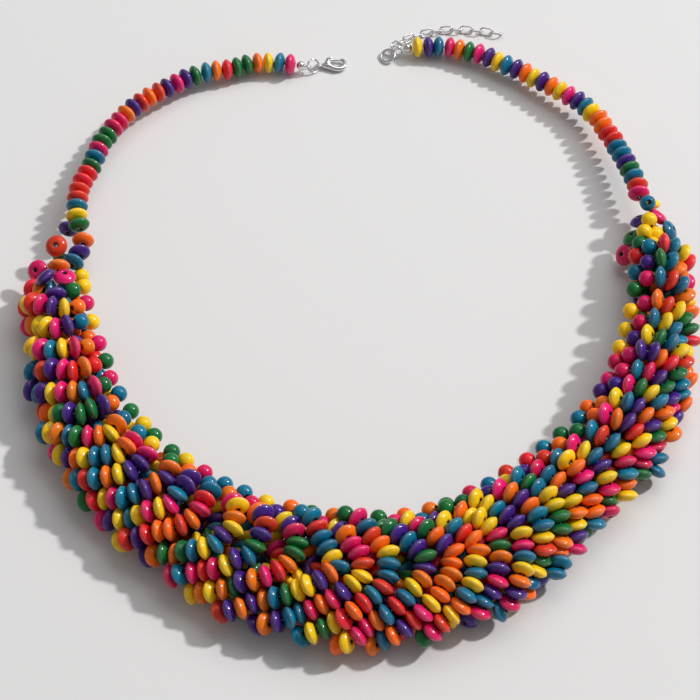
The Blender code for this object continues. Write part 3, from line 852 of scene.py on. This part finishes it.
# The function that wires each shader group, the group's inputs, and the outputs of them all.
GROUP_INPUTS = {
    painted_wood: (
        ("NodeSocketColor", "Paint", (0.8, 0.1, 0.1, 1.0)),
        ("NodeSocketFloat", "Tone spread", 0.2),
        ("NodeSocketFloat", "Grain", 0.5),
    ),
    polished_plating: (
        ("NodeSocketColor", "Metal", (0.75, 0.75, 0.77, 1.0)),
        ("NodeSocketFloat", "Scratches", 0.5),
    ),
    pale_board: (("NodeSocketColor", "Board", (0.8, 0.8, 0.8, 1.0)),),
}
GROUP_OUTPUTS = {"Color": "NodeSocketColor", "Roughness": "NodeSocketFloat", "Normal": "NodeSocketVector"}


def shader_group(wire):
    """The group named after its wiring function, made once."""
    name = wire.__name__
    if name in bpy.data.node_groups:
        return bpy.data.node_groups[name]
    tree = bpy.data.node_groups.new(name, "ShaderNodeTree")
    for kind, label, default in GROUP_INPUTS[wire]:
        socket = tree.interface.new_socket(name=label, in_out="INPUT", socket_type=kind)
        socket.default_value = default
    for label, kind in GROUP_OUTPUTS.items():
        tree.interface.new_socket(name=label, in_out="OUTPUT", socket_type=kind)
    w = Wiring(tree)
    given = w.node("NodeGroupInput")
    result = w.node("NodeGroupOutput")
    for label, source in zip(GROUP_OUTPUTS, wire(w, given)):
        w.join(source, result.inputs[label])
    return tree


def grouped_material(name, group, values, fixed):
    """A material whose Principled shader takes colour, roughness and normal from a group."""
    if name in bpy.data.materials:
        return bpy.data.materials[name]
    material = bpy.data.materials.new(name)
    material.use_nodes = True
    tree = material.node_tree
    shader = tree.nodes["Principled BSDF"]
    node = tree.nodes.new("ShaderNodeGroup")
    node.node_tree = group
    node.location = (-320, 120)
    for label, value in values.items():
        node.inputs[label].default_value = value
    for label, target in (("Color", "Base Color"), ("Roughness", "Roughness"), ("Normal", "Normal")):
        tree.links.new(node.outputs[label], shader.inputs[target])
    for label, value in fixed.items():
        shader.inputs[label].default_value = value
    return material


def bead_materials(paints):
    """The seven paints in the order of the colour letters."""
    made = []
    for colour in PAINTS.values():
        made.append(
            grouped_material(
                "painted_wood_" + colour,
                shader_group(painted_wood),
                {
                    "Paint": (*getattr(paints, colour), 1.0),
                    "Tone spread": paints.tone_spread,
                    "Grain": paints.grain,
                },
                {"Coat Weight": paints.gloss_coat, "Coat Roughness": 0.08, "Specular IOR Level": 0.22},
            )
        )
    return made


def metal_material(name, scratches, findings):
    return grouped_material(
        name,
        shader_group(polished_plating),
        {"Metal": (*findings.metal_colour, 1.0), "Scratches": scratches},
        {"Metallic": 1.0},
    )


# Settings


def length(name, description, default):
    return FloatProperty(
        name=name, description=description, default=default, min=0.0, unit="LENGTH", precision=5
    )


def amount(name, description, default, most=1.0):
    return FloatProperty(name=name, description=description, default=default, min=0.0, max=most)


def tilt(name, description, degrees):
    return FloatProperty(
        name=name, description=description, default=math.radians(degrees), min=0.0, subtype="ANGLE"
    )


def colour(name, description, default):
    return FloatVectorProperty(
        name=name, description=description, default=default, min=0.0, max=1.0, size=3, subtype="COLOR"
    )


class NecklaceBeadSizes(PropertyGroup):
    """Sizes of the beads and their thread"""

    saucer_diameter: length("Saucer diameter", "Width of a flat bead", 0.0080)
    saucer_thickness: length("Saucer thickness", "Thickness of a flat bead and its spacing", 0.0040)
    round_diameter: length("Round diameter", "Diameter of a round bead", 0.0058)
    hole_diameter: length("Hole diameter", "Diameter of the holes", 0.0014)
    thread_diameter: length("Thread diameter", "Diameter of the clear thread", 0.0005)


class NecklaceCollarLayout(PropertyGroup):
    """Sizes of the collar and how its rows run"""

    neck_half_width: length("Neck half width", "Middle to inner edge at the side", 0.1000)
    neck_reach: length("Neck reach", "Middle to inner edge at the front", 0.0870)
    front_width: length("Front width", "Width of the collar at the front", 0.0440)
    front_height: length("Front height", "Height of the collar at the front", 0.0250)
    row_count: IntProperty(name="Rows", description="Number of rows in the upper tier", default=41, min=4)
    parting: length("Parting", "How far the rows part left of the front's middle", 0.0024)
    tip_reach: length("Tip reach", "How far tips stand inwards where the collar is narrow", 0.0060)
    row_lean: length("Row lean", "How far the rows lean along the collar", 0.0140)
    row_sweep: length("Row sweep", "How far the tails swing back", 0.0210)
    seed: IntProperty(name="Seed", description="Start of the seeded wander and colours", default=11, min=0)


class NecklacePaints(PropertyGroup):
    """Colours and finish of the painted beads"""

    yellow: colour("Yellow", "Yellow paint", (0.97, 0.60, 0.006))
    orange: colour("Orange", "Orange paint", (0.96, 0.165, 0.004))
    red: colour("Red", "Red paint", (0.78, 0.020, 0.014))
    magenta: colour("Magenta", "Magenta paint", (0.75, 0.006, 0.12))
    purple: colour("Purple", "Purple paint", (0.055, 0.012, 0.21))
    green: colour("Green", "Green paint", (0.004, 0.15, 0.034))
    teal: colour("Teal", "Teal paint", (0.0, 0.160, 0.29))
    tone_spread: amount("Tone spread", "How much beads of one colour differ", 0.22)
    grain: amount("Grain", "How much wood grain shows in the paint", 0.5)
    gloss_coat: amount("Gloss coat", "Weight of the clear lacquer", 0.25)


class NecklaceFindings(PropertyGroup):
    """Sizes and colour of the metal findings"""

    cover_diameter: length("Knot cover diameter", "Diameter of the shell over the knot", 0.0034)
    cover_loop_radius: length("Cover loop radius", "Radius of the knot cover's loop", 0.0011)
    cover_loop_wire: length("Cover loop wire", "Wire of the knot cover's loop", 0.0007)
    clasp_ring_radius: length("Clasp ring radius", "Radius of the ring that holds the clasp", 0.00245)
    clasp_ring_wire: length("Clasp ring wire", "Wire of the ring that holds the clasp", 0.0007)
    clasp_length: length("Clasp length", "From tail loop to the claw's bend", 0.0100)
    clasp_thickness: length("Clasp thickness", "Thickness of the claw", 0.0026)
    tail_loop_radius: length("Tail loop radius", "Radius of the clasp's tail loop", 0.0012)
    tail_loop_wire: length("Tail loop wire", "Wire of the clasp's tail loop", 0.0009)
    end_ring_radius: length("End ring radius", "Radius of the ring that the clasp hooks", 0.0027)
    end_ring_wire: length("End ring wire", "Wire of the ring that the clasp hooks", 0.0010)
    chain_ring_radius: length("Chain ring radius", "Radius of the ring between end ring and chain", 0.0020)
    chain_ring_wire: length("Chain ring wire", "Wire of the ring between end ring and chain", 0.0007)
    link_half_length: length("Link half length", "Half the length of a chain link's middle line", 0.00245)
    link_half_width: length("Link half width", "Half the width of a chain link's middle line", 0.0013)
    link_wire: length("Link wire", "Wire of the chain links", 0.00066)
    link_count: IntProperty(name="Links", description="Number of chain links", default=12, min=1)
    metal_colour: colour("Metal", "Silver-tone plating", (0.80, 0.80, 0.81))


class NecklaceStage(PropertyGroup):
    """Table, light and camera"""

    table_size: length("Table size", "Side of the table top", 6.0)
    table_colour: colour("Table", "Colour of the table top", (0.735, 0.734, 0.738))
    sun_strength: amount("Key light", "Strength of the key light", 2.3, 20.0)
    sun_softness: tilt("Key softness", "Angle of the key light", 3.5)
    box_power: amount("Soft box", "Power of the soft box overhead", 6.2, 100.0)
    fill_strength: amount("Fill", "Strength of the light all round", 0.28)
    camera_distance: length("Camera distance", "From the camera to the middle of the view", 0.9)
    camera_height: tilt("Camera elevation", "How far the camera looks down", 56.0)
    lens: amount("Lens", "Focal length for a 36 mm frame, in mm", 131.9, 1000.0)


# Findings


FINDING_ROLL = math.radians(45.0)
CLASP_TURN = math.radians(6.0)
CLASP_RING_TURN = math.radians(26.0)
END_RING_TURN = math.radians(203.0)
LEFT_TIP_AIM = Vector((0.985, -0.020, -0.172)).normalized()
RIGHT_TIP_AIM = Vector((-0.970, 0.060, -0.235)).normalized()
TABLE_CLEARANCE = 0.0001
LINK_CLEARANCE = 0.0004
FIRST_LINK_CLEARANCE = 0.0007
LINK_ROLL = math.radians(45.0)
LINK_BEND_STEPS = 16
JOIN_SWELL = 1.10

# The knot cover's shell: its mouth and how far its round goes on, in degrees, its inside and the
# seam of its halves as shares of its radius. Then the slit of a bent ring and its cut ends.
COVER_MOUTH = 20.0
COVER_ROUND = 152.0
COVER_INSIDE = 0.86
COVER_SEAM = 0.93
COVER_STEPS = 14
COVER_SIDES = 36
RING_SLIT = 0.00007
CUT_END_SHARE = 0.90

# The clasp's ears and pin and the lever's thumb nub: places in the clasp's plane as in the claw's
# table, levels as shares of half its thickness, and radii in metres.
EAR_ROOT = (0.330, 0.020)
EAR_RADII = (0.00105, 0.00085)
EAR_LEVELS = (0.68, 0.92)
PIN_PROFILE = [
    (0.00001, 0.98),
    (0.00030, 0.97),
    (0.00040, 0.90),
    (0.00040, -0.90),
    (0.00030, -0.97),
    (0.00001, -0.98),
]
NUB_PLACE = (0.470, 0.310)
NUB_FOOT = (0.470, 0.235)
NUB_RADIUS = 0.00065
NUB_POLE_RADIUS = 0.000004
NUB_NECK_RADII = (0.0006, 0.0005, 0.0005)
BAR_END_REACH = 0.8


def cover_places(string_end, aim, findings):
    """Centres of a knot cover and of its loop."""
    radius = findings.cover_diameter / 2.0
    centre = string_end + aim * (PIECE_GAP + radius)
    loop = centre + aim * (radius - findings.cover_loop_wire / 4.0 + findings.cover_loop_radius)
    return centre, loop


def left_places(findings):
    """Knot cover, its loop, the clasp's ring and its tail, on the left."""
    end = Vector(LEFT_STRING_ROUTE[0]) + ROUTE_ORIGIN
    centre, loop = cover_places(end, LEFT_TIP_AIM, findings)
    span = 2.0 * findings.clasp_ring_radius
    drop = findings.clasp_thickness / 2.0 + PIECE_GAP - loop.z
    flat = math.sqrt(max(span * span - drop * drop, 0.0))
    tail = loop + Vector((math.cos(CLASP_RING_TURN) * flat, math.sin(CLASP_RING_TURN) * flat, drop))
    return centre, loop, tail


def right_places(findings):
    """Knot cover, its loop, the end ring's centre and the placement of the ring beside it."""
    end = Vector(RIGHT_STRING_ROUTE[0]) + ROUTE_ORIGIN
    centre, loop = cover_places(end, RIGHT_TIP_AIM, findings)
    wires = (findings.end_ring_wire + findings.chain_ring_wire) / 2.0
    inside = findings.end_ring_radius - wires - PIECE_GAP
    apart = inside + 2.0 * findings.chain_ring_radius
    lean = findings.end_ring_radius / apart
    lowest = findings.end_ring_wire / 2.0 + TABLE_CLEARANCE
    drop = (lowest + lean * loop.z) / (1.0 + lean) - loop.z
    flat = math.sqrt(max(apart * apart - drop * drop, 0.0))
    end_centre = loop + Vector((math.cos(END_RING_TURN) * flat, math.sin(END_RING_TURN) * flat, drop))
    line = (loop - end_centre).normalized()
    ring_centre = end_centre + line * (inside + findings.chain_ring_radius)
    return centre, loop, end_centre, line, ring_frame(ring_centre, line, FINDING_ROLL)


def wire_ring(radius, wire, placed, split, count=56, sides=14):
    """A ring of wire, whole or with its two cut ends meeting at the angle split."""
    whole = split is None
    slit = 0.0 if whole else RING_SLIT / radius
    start = 0.0 if whole else split + slit
    turn = 2.0 * math.pi - 2.0 * slit
    points = []
    for k in range(count):
        angle = start + turn * k / (count if whole else count - 1)
        points.append(placed @ Vector((radius * math.cos(angle), radius * math.sin(angle), 0.0)))
    radii = [wire / 2.0] * count
    if not whole:
        radii[0] = radii[-1] = wire / 2.0 * CUT_END_SHARE
    return tube(points, radii, sides, whole)


def knot_cover(gathered, centre, loop, aim, roll, findings):
    """Two hinged half shells closed over the knot, and the loop that the ring goes through."""
    radius = findings.cover_diameter / 2.0
    profile = []
    for k in range(COVER_STEPS + 1):
        angle = math.radians(COVER_MOUTH + COVER_ROUND * k / COVER_STEPS)
        profile.append((radius * math.sin(angle), -radius * math.cos(angle)))
    inner = [(r * COVER_INSIDE, z * COVER_INSIDE) for r, z in reversed(profile)]
    vertices, faces = lathe(profile + inner, COVER_SIDES)
    count = len(profile) * 2
    for k in (0, COVER_SIDES // 2):
        vertices[k * count:k * count + len(profile)] *= (COVER_SEAM, COVER_SEAM, 1.0)
    placed = ring_frame(centre, aim, roll) @ Matrix.Rotation(math.radians(90.0), 4, "Y")
    gathered.add(vertices, faces, placed)
    loop_frame = ring_frame(loop, aim, roll)
    gathered.add(
        *wire_ring(findings.cover_loop_radius, findings.cover_loop_wire, loop_frame, math.pi, 40, 12)
    )


def clasp_point(tail, along, across, findings):
    axis = Vector((math.cos(CLASP_TURN), math.sin(CLASP_TURN), 0.0))
    side = Vector((-axis.y, axis.x, 0.0))
    point = tail + (axis * along + side * across) * findings.clasp_length
    return Vector((point.x, point.y, findings.clasp_thickness / 2.0))


def cast_bar(tail, shape, findings, steps, sides, flat):
    """A cast bar in the clasp's plane that follows a table of widths, a little flat in height."""
    points = []
    radii = []
    for k in range(steps + 1):
        along, across, wide = catmull_rom(shape, k / steps)
        points.append(clasp_point(tail, along, across, findings))
        radii.append(wide * findings.clasp_thickness / 2.0)
    ends = ((0, points[0], points[1]), (-1, points[-1], points[-2]))
    for index, end, inner in ends:
        outward = (end - inner).normalized()
        radius = radii[index]
        caps = [(0.34, 0.94), (0.64, 0.77), (0.86, 0.51), (0.97, 0.24)]
        extra = [(end + outward * radius * BAR_END_REACH * a, radius * b) for a, b in caps]
        if index == 0:
            extra.reverse()
            points = [p for p, _ in extra] + points
            radii = [r for _, r in extra] + radii
        else:
            points = points + [p for p, _ in extra]
            radii = radii + [r for _, r in extra]
    vertices, faces = tube(points, radii, sides, False)
    middle = findings.clasp_thickness / 2.0
    vertices = [Vector((v.x, v.y, middle + (v.z - middle) * flat)) for v in vertices]
    return vertices, faces


# Operators


class PieceOperator:
    """Shared settings of the operators"""

    bl_options = {"REGISTER", "UNDO"}


class NECKLACE_OT_collar_beads(PieceOperator, Operator):
    """Thread the collar's three tiers of beads and settle them on each other"""

    bl_idname = "necklace.collar_beads"
    bl_label = "Collar beads"

    def execute(self, context):
        scene = context.scene
        sizes = scene.necklace_beads
        layout = scene.necklace_collar
        collar = Collar(layout, sizes.saucer_diameter / 2.0)
        beads = collar_beads(collar, sizes, layout)
        shapes = bead_shapes(sizes)
        materials = bead_materials(scene.necklace_paints)
        for side in ("left", "right"):
            node = "collar_" + side
            for tier in ("upper", "middle", "under"):
                chosen = [b for b in beads if b.left == (side == "left") and b.tier == tier]
                gathered = gather_beads(chosen, shapes)
                gathered.piece(f"{node}_{tier}_beads", materials, [node], node + "_beads")
        thread_collar(beads, sizes)
        return {"FINISHED"}


def clear_thread():
    """Clear nylon thread, a little cloudy along its length."""
    name = "clear_thread"
    if name in bpy.data.materials:
        return bpy.data.materials[name]
    material = bpy.data.materials.new(name)
    material.use_nodes = True
    shader = material.node_tree.nodes["Principled BSDF"]
    w = Wiring(material.node_tree)
    place = w.node("ShaderNodeTexCoord").outputs["Object"]
    cloud = w.noise(place, 900.0, 2.0)
    tint = w.mix(w.span(cloud, 0.3, 0.7), (0.88, 0.90, 0.92, 1.0), (0.72, 0.75, 0.78, 1.0))
    w.join(tint, shader.inputs["Base Color"])
    w.join(w.span(cloud, 0.3, 0.7, 0.08, 0.22), shader.inputs["Roughness"])
    shader.inputs["Transmission Weight"].default_value = 0.55
    shader.inputs["IOR"].default_value = 1.53
    return material


def thread_collar(beads, sizes):
    """The clear thread through every row of the collar."""
    for side in ("left", "right"):
        gathered = Gathered()
        rows = {}
        for bead in beads:
            if bead.left == (side == "left"):
                rows.setdefault(bead.row, []).append(bead)
        for row in rows.values():
            if len(row) < 2:
                continue
            points = []
            for a, b in zip(row, row[1:]):
                points.append(a.centre)
                points.append((a.centre + b.centre) / 2.0)
            points.append(row[-1].centre)
            gathered.add(*tube(points, [sizes.thread_diameter / 2.0] * len(points), 6, False))
        node = "collar_" + side
        gathered.piece(node + "_thread", [clear_thread()], [node], node + "_beads")


class NECKLACE_OT_string_beads(PieceOperator, Operator):
    """Thread the two single strings of flat beads"""

    bl_idname = "necklace.string_beads"
    bl_label = "String beads"

    def execute(self, context):
        scene = context.scene
        sizes = scene.necklace_beads
        layout = scene.necklace_collar
        collar = Collar(layout, sizes.saucer_diameter / 2.0)
        shapes = bead_shapes(sizes)
        materials = bead_materials(scene.necklace_paints)
        dice = random.Random(layout.seed + 1)
        for side, points, colours, s in (
            ("left", LEFT_STRING_ROUTE, LEFT_STRING_COLOURS, 0.0),
            ("right", RIGHT_STRING_ROUTE, RIGHT_STRING_COLOURS, collar.edge.length),
        ):
            width, height = collar.section(s)[:2]
            end = collar.place(s, (width - collar.rim) / 2.0, height - collar.rim)
            route = Route(points + [tuple(end)])
            gathered = gather_beads(string_beads(route, colours, sizes, dice), shapes)
            node = side + "_string"
            gathered.piece(node + "_beads", materials, [node], node + "_beads")
            steps = 120
            centres = [route.at(route.length * k / steps) + ROUTE_ORIGIN for k in range(steps + 1)]
            thread = Gathered()
            thread.add(*tube(centres, [sizes.thread_diameter / 2.0] * len(centres), 8, False))
            thread.piece(node + "_thread", [clear_thread()], [node], node + "_beads")
        return {"FINISHED"}


class NECKLACE_OT_knot_covers(PieceOperator, Operator):
    """Close a knot cover over the end of each string"""

    bl_idname = "necklace.knot_covers"
    bl_label = "Knot covers"

    def execute(self, context):
        findings = context.scene.necklace_findings
        material = metal_material("knot_cover_plating", 0.5, findings)
        left = left_places(findings)
        right = right_places(findings)
        for side, centre, loop, aim, roll in (
            ("left", left[0], left[1], LEFT_TIP_AIM, -FINDING_ROLL),
            ("right", right[0], right[1], RIGHT_TIP_AIM, FINDING_ROLL),
        ):
            gathered = Gathered()
            knot_cover(gathered, centre, loop, aim, roll, findings)
            gathered.piece("knot_cover_" + side, [material], ["bead_tip_" + side], "silver_metal")
        return {"FINISHED"}


class NECKLACE_OT_rings(PieceOperator, Operator):
    """Bend the two jump rings and the end ring that the clasp hooks"""

    bl_idname = "necklace.rings"
    bl_label = "Rings"

    def execute(self, context):
        findings = context.scene.necklace_findings
        material = metal_material("ring_plating", 0.4, findings)
        loop, tail = left_places(findings)[1:]
        clasp_ring = ring_frame((loop + tail) / 2.0, tail - loop, FINDING_ROLL)
        end_centre, line, chain_ring = right_places(findings)[2:]
        for name, node, kind, placed, split in (
            ("ring_at_clasp", "clasp_jump_ring", "clasp_ring", clasp_ring, 1.9),
            ("ring_at_end", "end_ring", "end_ring", ring_frame(end_centre, line, 0.0), None),
            ("ring_at_chain", "chain_jump_ring", "chain_ring", chain_ring, -1.2),
        ):
            radius = getattr(findings, kind + "_radius")
            wire = getattr(findings, kind + "_wire")
            gathered = Gathered()
            gathered.add(*wire_ring(radius, wire, placed, split))
            gathered.piece(name, [material], [node], "silver_metal")
        return {"FINISHED"}


class NECKLACE_OT_clasp(PieceOperator, Operator):
    """Cast the lobster clasp's claw with its tail loop and pin, and its sprung lever"""

    bl_idname = "necklace.clasp"
    bl_label = "Clasp"

    def execute(self, context):
        findings = context.scene.necklace_findings
        material = metal_material("clasp_plating", 0.6, findings)
        tail = left_places(findings)[2]
        axis = Vector((math.cos(CLASP_TURN), math.sin(CLASP_TURN), 0.0))
        loop_frame = ring_frame(tail, axis, -FINDING_ROLL)
        claw = Gathered()
        claw.add(*cast_bar(tail, CLAW_SHAPE, findings, 40, 20, 0.98))
        claw.add(*wire_ring(findings.tail_loop_radius, findings.tail_loop_wire, loop_frame, None, 40, 14))
        pivot = clasp_point(tail, *LEVER_SHAPE[0][:2], findings)
        root = clasp_point(tail, *EAR_ROOT, findings)
        half = findings.clasp_thickness / 2.0
        for side in (half, -half):
            claw.add(*ear_plate(root, pivot, *EAR_RADII, side * EAR_LEVELS[0], side * EAR_LEVELS[1]))
        pin = [(r, h * half) for r, h in PIN_PROFILE]
        claw.add(*lathe(pin, 18), Matrix.Translation(pivot))
        claw.piece("clasp_claw", [material], ["clasp_body"], "silver_metal")

        lever = Gathered()
        lever.add(*cast_bar(tail, LEVER_SHAPE, findings, 18, 16, 0.95))
        nub = clasp_point(tail, *NUB_PLACE, findings)
        neck = clasp_point(tail, *NUB_FOOT, findings)
        profile = []
        for k in range(9):
            angle = math.radians(180.0 * k / 8.0)
            reach_out = max(NUB_RADIUS * math.sin(angle), NUB_POLE_RADIUS)
            profile.append((reach_out, NUB_RADIUS * math.cos(angle)))
        lever.add(*lathe(profile, 18), Matrix.Translation(nub))
        lever.add(*tube([neck, (neck + nub) / 2.0, nub], NUB_NECK_RADII, 14, False))
        lever.piece("clasp_thumb_lever", [material], ["clasp_lever"], "silver_metal", LEVER_BODY)
        return {"FINISHED"}


def ear_plate(a, b, radius_a, radius_b, low, high):
    """A thin plate with round ends from a to b, between two heights of the clasp."""
    along = (b - a).normalized()
    side = Vector((-along.y, along.x, 0.0))
    outline = []
    for centre, radius, start in ((b, radius_b, -90.0), (a, radius_a, 90.0)):
        for k in range(13):
            angle = math.radians(start + 180.0 * k / 12.0)
            outline.append(centre + (along * math.cos(angle) + side * math.sin(angle)) * radius)
    count = len(outline)
    inset = 0.00006
    middle = sum(outline, Vector()) / count
    levels = [(low, 0.0), (high - math.copysign(inset, high), 0.0), (high, inset)]
    vertices = []
    for level, shrink in levels:
        for point in outline:
            inward = (middle - point).normalized() * shrink
            vertices.append(point + inward + Vector((0.0, 0.0, level)))
    faces = []
    for k in range(len(levels) - 1):
        for j in range(count):
            after = (j + 1) % count
            quad = (k * count + j, k * count + after, (k + 1) * count + after, (k + 1) * count + j)
            faces.append(quad if high > low else tuple(reversed(quad)))
    bottom = tuple(reversed(range(count)))
    top = tuple(range(2 * count, 3 * count))
    faces.append(bottom if high > low else tuple(reversed(bottom)))
    faces.append(top if high > low else tuple(reversed(top)))
    return vertices, faces


class NECKLACE_OT_chain(PieceOperator, Operator):
    """Link the extender chain"""

    bl_idname = "necklace.chain"
    bl_label = "Extender chain"

    def execute(self, context):
        findings = context.scene.necklace_findings
        material = metal_material("chain_plating", 0.5, findings)
        placed = right_places(findings)[4]
        hook = placed @ Vector((0.0, findings.chain_ring_radius, 0.0))
        route_start = Vector(CHAIN_ROUTE[0]) + ROUTE_ORIGIN
        first_aim = (route_start - hook).normalized()
        back = (findings.chain_ring_wire + findings.link_wire) / 2.0 + FIRST_LINK_CLEARANCE
        start = hook - first_aim * back
        route = Route([tuple(start)] + [tuple(Vector(p) + ROUTE_ORIGIN) for p in CHAIN_ROUTE])
        pitch = 2.0 * findings.link_half_length - findings.link_wire - LINK_CLEARANCE
        straight = findings.link_half_length - findings.link_half_width
        gathered = Gathered()
        for k in range(findings.link_count):
            near = route.at(k * pitch)
            far = route.at(k * pitch + 2.0 * findings.link_half_length)
            roll = -LINK_ROLL if k % 2 else LINK_ROLL
            middle = ring_frame((near + far) / 2.0, far - near, roll)
            points = []
            for end in (1.0, -1.0):
                for j in range(LINK_BEND_STEPS + 1):
                    angle = math.radians(-90.0 + 180.0 * j / LINK_BEND_STEPS)
                    x = end * (straight + findings.link_half_width * math.cos(angle))
                    y = end * findings.link_half_width * math.sin(angle)
                    points.append(middle @ Vector((x, y, 0.0)))
                points.append(middle @ Vector((0.0, end * findings.link_half_width, 0.0)))
            radii = [findings.link_wire / 2.0] * len(points)
            radii[LINK_BEND_STEPS + 1] *= JOIN_SWELL
            gathered.add(*tube(points, radii, 12, True))
        nodes = [f"chain_link_{k + 1:02d}" for k in range(findings.link_count)]
        gathered.piece("extender_chain", [material], nodes, "silver_metal")
        return {"FINISHED"}


# The key light's colour and where it comes from, the soft box, the point that the camera looks
# at, from the routes' origin, and the cells along a side of the table top.
KEY_COLOUR = (1.0, 0.985, 0.965)
KEY_DIRECTION = Vector((0.69, 0.30, 0.66))
BOX_SIZE = (1.3, 0.9)
BOX_PLACE = Vector((0.45, 0.55, 1.05))
VIEW_TARGET = Vector((-0.0025, -0.0130, 0.0))
TABLE_CELLS = 12


class NECKLACE_OT_stage(PieceOperator, Operator):
    """Lay the table, hang the lights and aim the camera"""

    bl_idname = "necklace.stage"
    bl_label = "Table, light and camera"

    def execute(self, context):
        scene = context.scene
        stage = scene.necklace_stage
        half = stage.table_size / 2.0
        step = stage.table_size / TABLE_CELLS
        across = TABLE_CELLS + 1
        vertices = []
        faces = []
        for j in range(across):
            for i in range(across):
                vertices.append((i * step - half, j * step - half, 0.0))
        for j in range(TABLE_CELLS):
            for i in range(TABLE_CELLS):
                k = j * across + i
                faces.append((k, k + 1, k + across + 1, k + across))
        mesh = bpy.data.meshes.new("table_top")
        mesh.from_pydata(vertices, [], faces)
        table = bpy.data.objects.new("table_top", mesh)
        scene.collection.objects.link(table)
        board = {"Board": (*stage.table_colour, 1.0)}
        mesh.materials.append(grouped_material("pale_board", shader_group(pale_board), board, {}))

        sun = bpy.data.lights.new("key_light", "SUN")
        sun.energy = stage.sun_strength
        sun.angle = stage.sun_softness
        sun.color = KEY_COLOUR
        key = bpy.data.objects.new("key_light", sun)
        key.rotation_mode = "QUATERNION"
        key.rotation_quaternion = KEY_DIRECTION.to_track_quat("Z", "Y")
        scene.collection.objects.link(key)
        box = bpy.data.lights.new("soft_box", "AREA")
        box.shape = "RECTANGLE"
        box.size, box.size_y = BOX_SIZE
        box.energy = stage.box_power
        soft = bpy.data.objects.new("soft_box", box)
        soft.location = BOX_PLACE
        soft.rotation_mode = "QUATERNION"
        soft.rotation_quaternion = BOX_PLACE.to_track_quat("Z", "Y")
        scene.collection.objects.link(soft)

        world = bpy.data.worlds.new("studio")
        world.use_nodes = True
        background = world.node_tree.nodes["Background"]
        background.inputs["Color"].default_value = (1.0, 1.0, 1.0, 1.0)
        background.inputs["Strength"].default_value = stage.fill_strength
        scene.world = world
        scene.view_settings.view_transform = "Standard"

        lens = bpy.data.cameras.new("photo_camera")
        lens.sensor_width = 36.0
        lens.lens = stage.lens
        lens.clip_start = 0.01
        lens.clip_end = 50.0
        camera = bpy.data.objects.new("photo_camera", lens)
        target = VIEW_TARGET + ROUTE_ORIGIN
        back = Vector((0.0, -math.cos(stage.camera_height), math.sin(stage.camera_height)))
        camera.location = target + back * stage.camera_distance
        camera.rotation_mode = "QUATERNION"
        camera.rotation_quaternion = back.to_track_quat("Z", "Y")
        scene.collection.objects.link(camera)
        scene.camera = camera
        return {"FINISHED"}


class NECKLACE_PT_sidebar(Panel):
    """The necklace's settings and the buttons that build it"""

    bl_label = "Beaded necklace"
    bl_idname = "NECKLACE_PT_sidebar"
    bl_space_type = "VIEW_3D"
    bl_region_type = "UI"
    bl_category = "Necklace"

    def draw(self, context):
        for title, group in SETTINGS.items():
            box = self.layout.box()
            box.label(text=group.__doc__)
            settings = getattr(context.scene, title)
            for key in group.__annotations__:
                box.prop(settings, key)
        for operator in OPERATORS:
            self.layout.operator(operator.bl_idname)


SETTINGS = {
    "necklace_beads": NecklaceBeadSizes,
    "necklace_collar": NecklaceCollarLayout,
    "necklace_paints": NecklacePaints,
    "necklace_findings": NecklaceFindings,
    "necklace_stage": NecklaceStage,
}
OPERATORS = (
    NECKLACE_OT_collar_beads,
    NECKLACE_OT_string_beads,
    NECKLACE_OT_knot_covers,
    NECKLACE_OT_rings,
    NECKLACE_OT_clasp,
    NECKLACE_OT_chain,
    NECKLACE_OT_stage,
)


def register():
    for group in SETTINGS.values():
        bpy.utils.register_class(group)
    for title, group in SETTINGS.items():
        setattr(bpy.types.Scene, title, PointerProperty(type=group))
    for operator in OPERATORS:
        bpy.utils.register_class(operator)
    bpy.utils.register_class(NECKLACE_PT_sidebar)


def unregister():
    bpy.utils.unregister_class(NECKLACE_PT_sidebar)
    for operator in reversed(OPERATORS):
        bpy.utils.unregister_class(operator)
    for title in SETTINGS:
        delattr(bpy.types.Scene, title)
    for group in reversed(list(SETTINGS.values())):
        bpy.utils.unregister_class(group)


def main():
    register()
    bpy.ops.necklace.collar_beads()
    bpy.ops.necklace.string_beads()
    bpy.ops.necklace.knot_covers()
    bpy.ops.necklace.rings()
    bpy.ops.necklace.clasp()
    bpy.ops.necklace.chain()
    bpy.ops.necklace.stage()


if __name__ == "__main__":
    main()
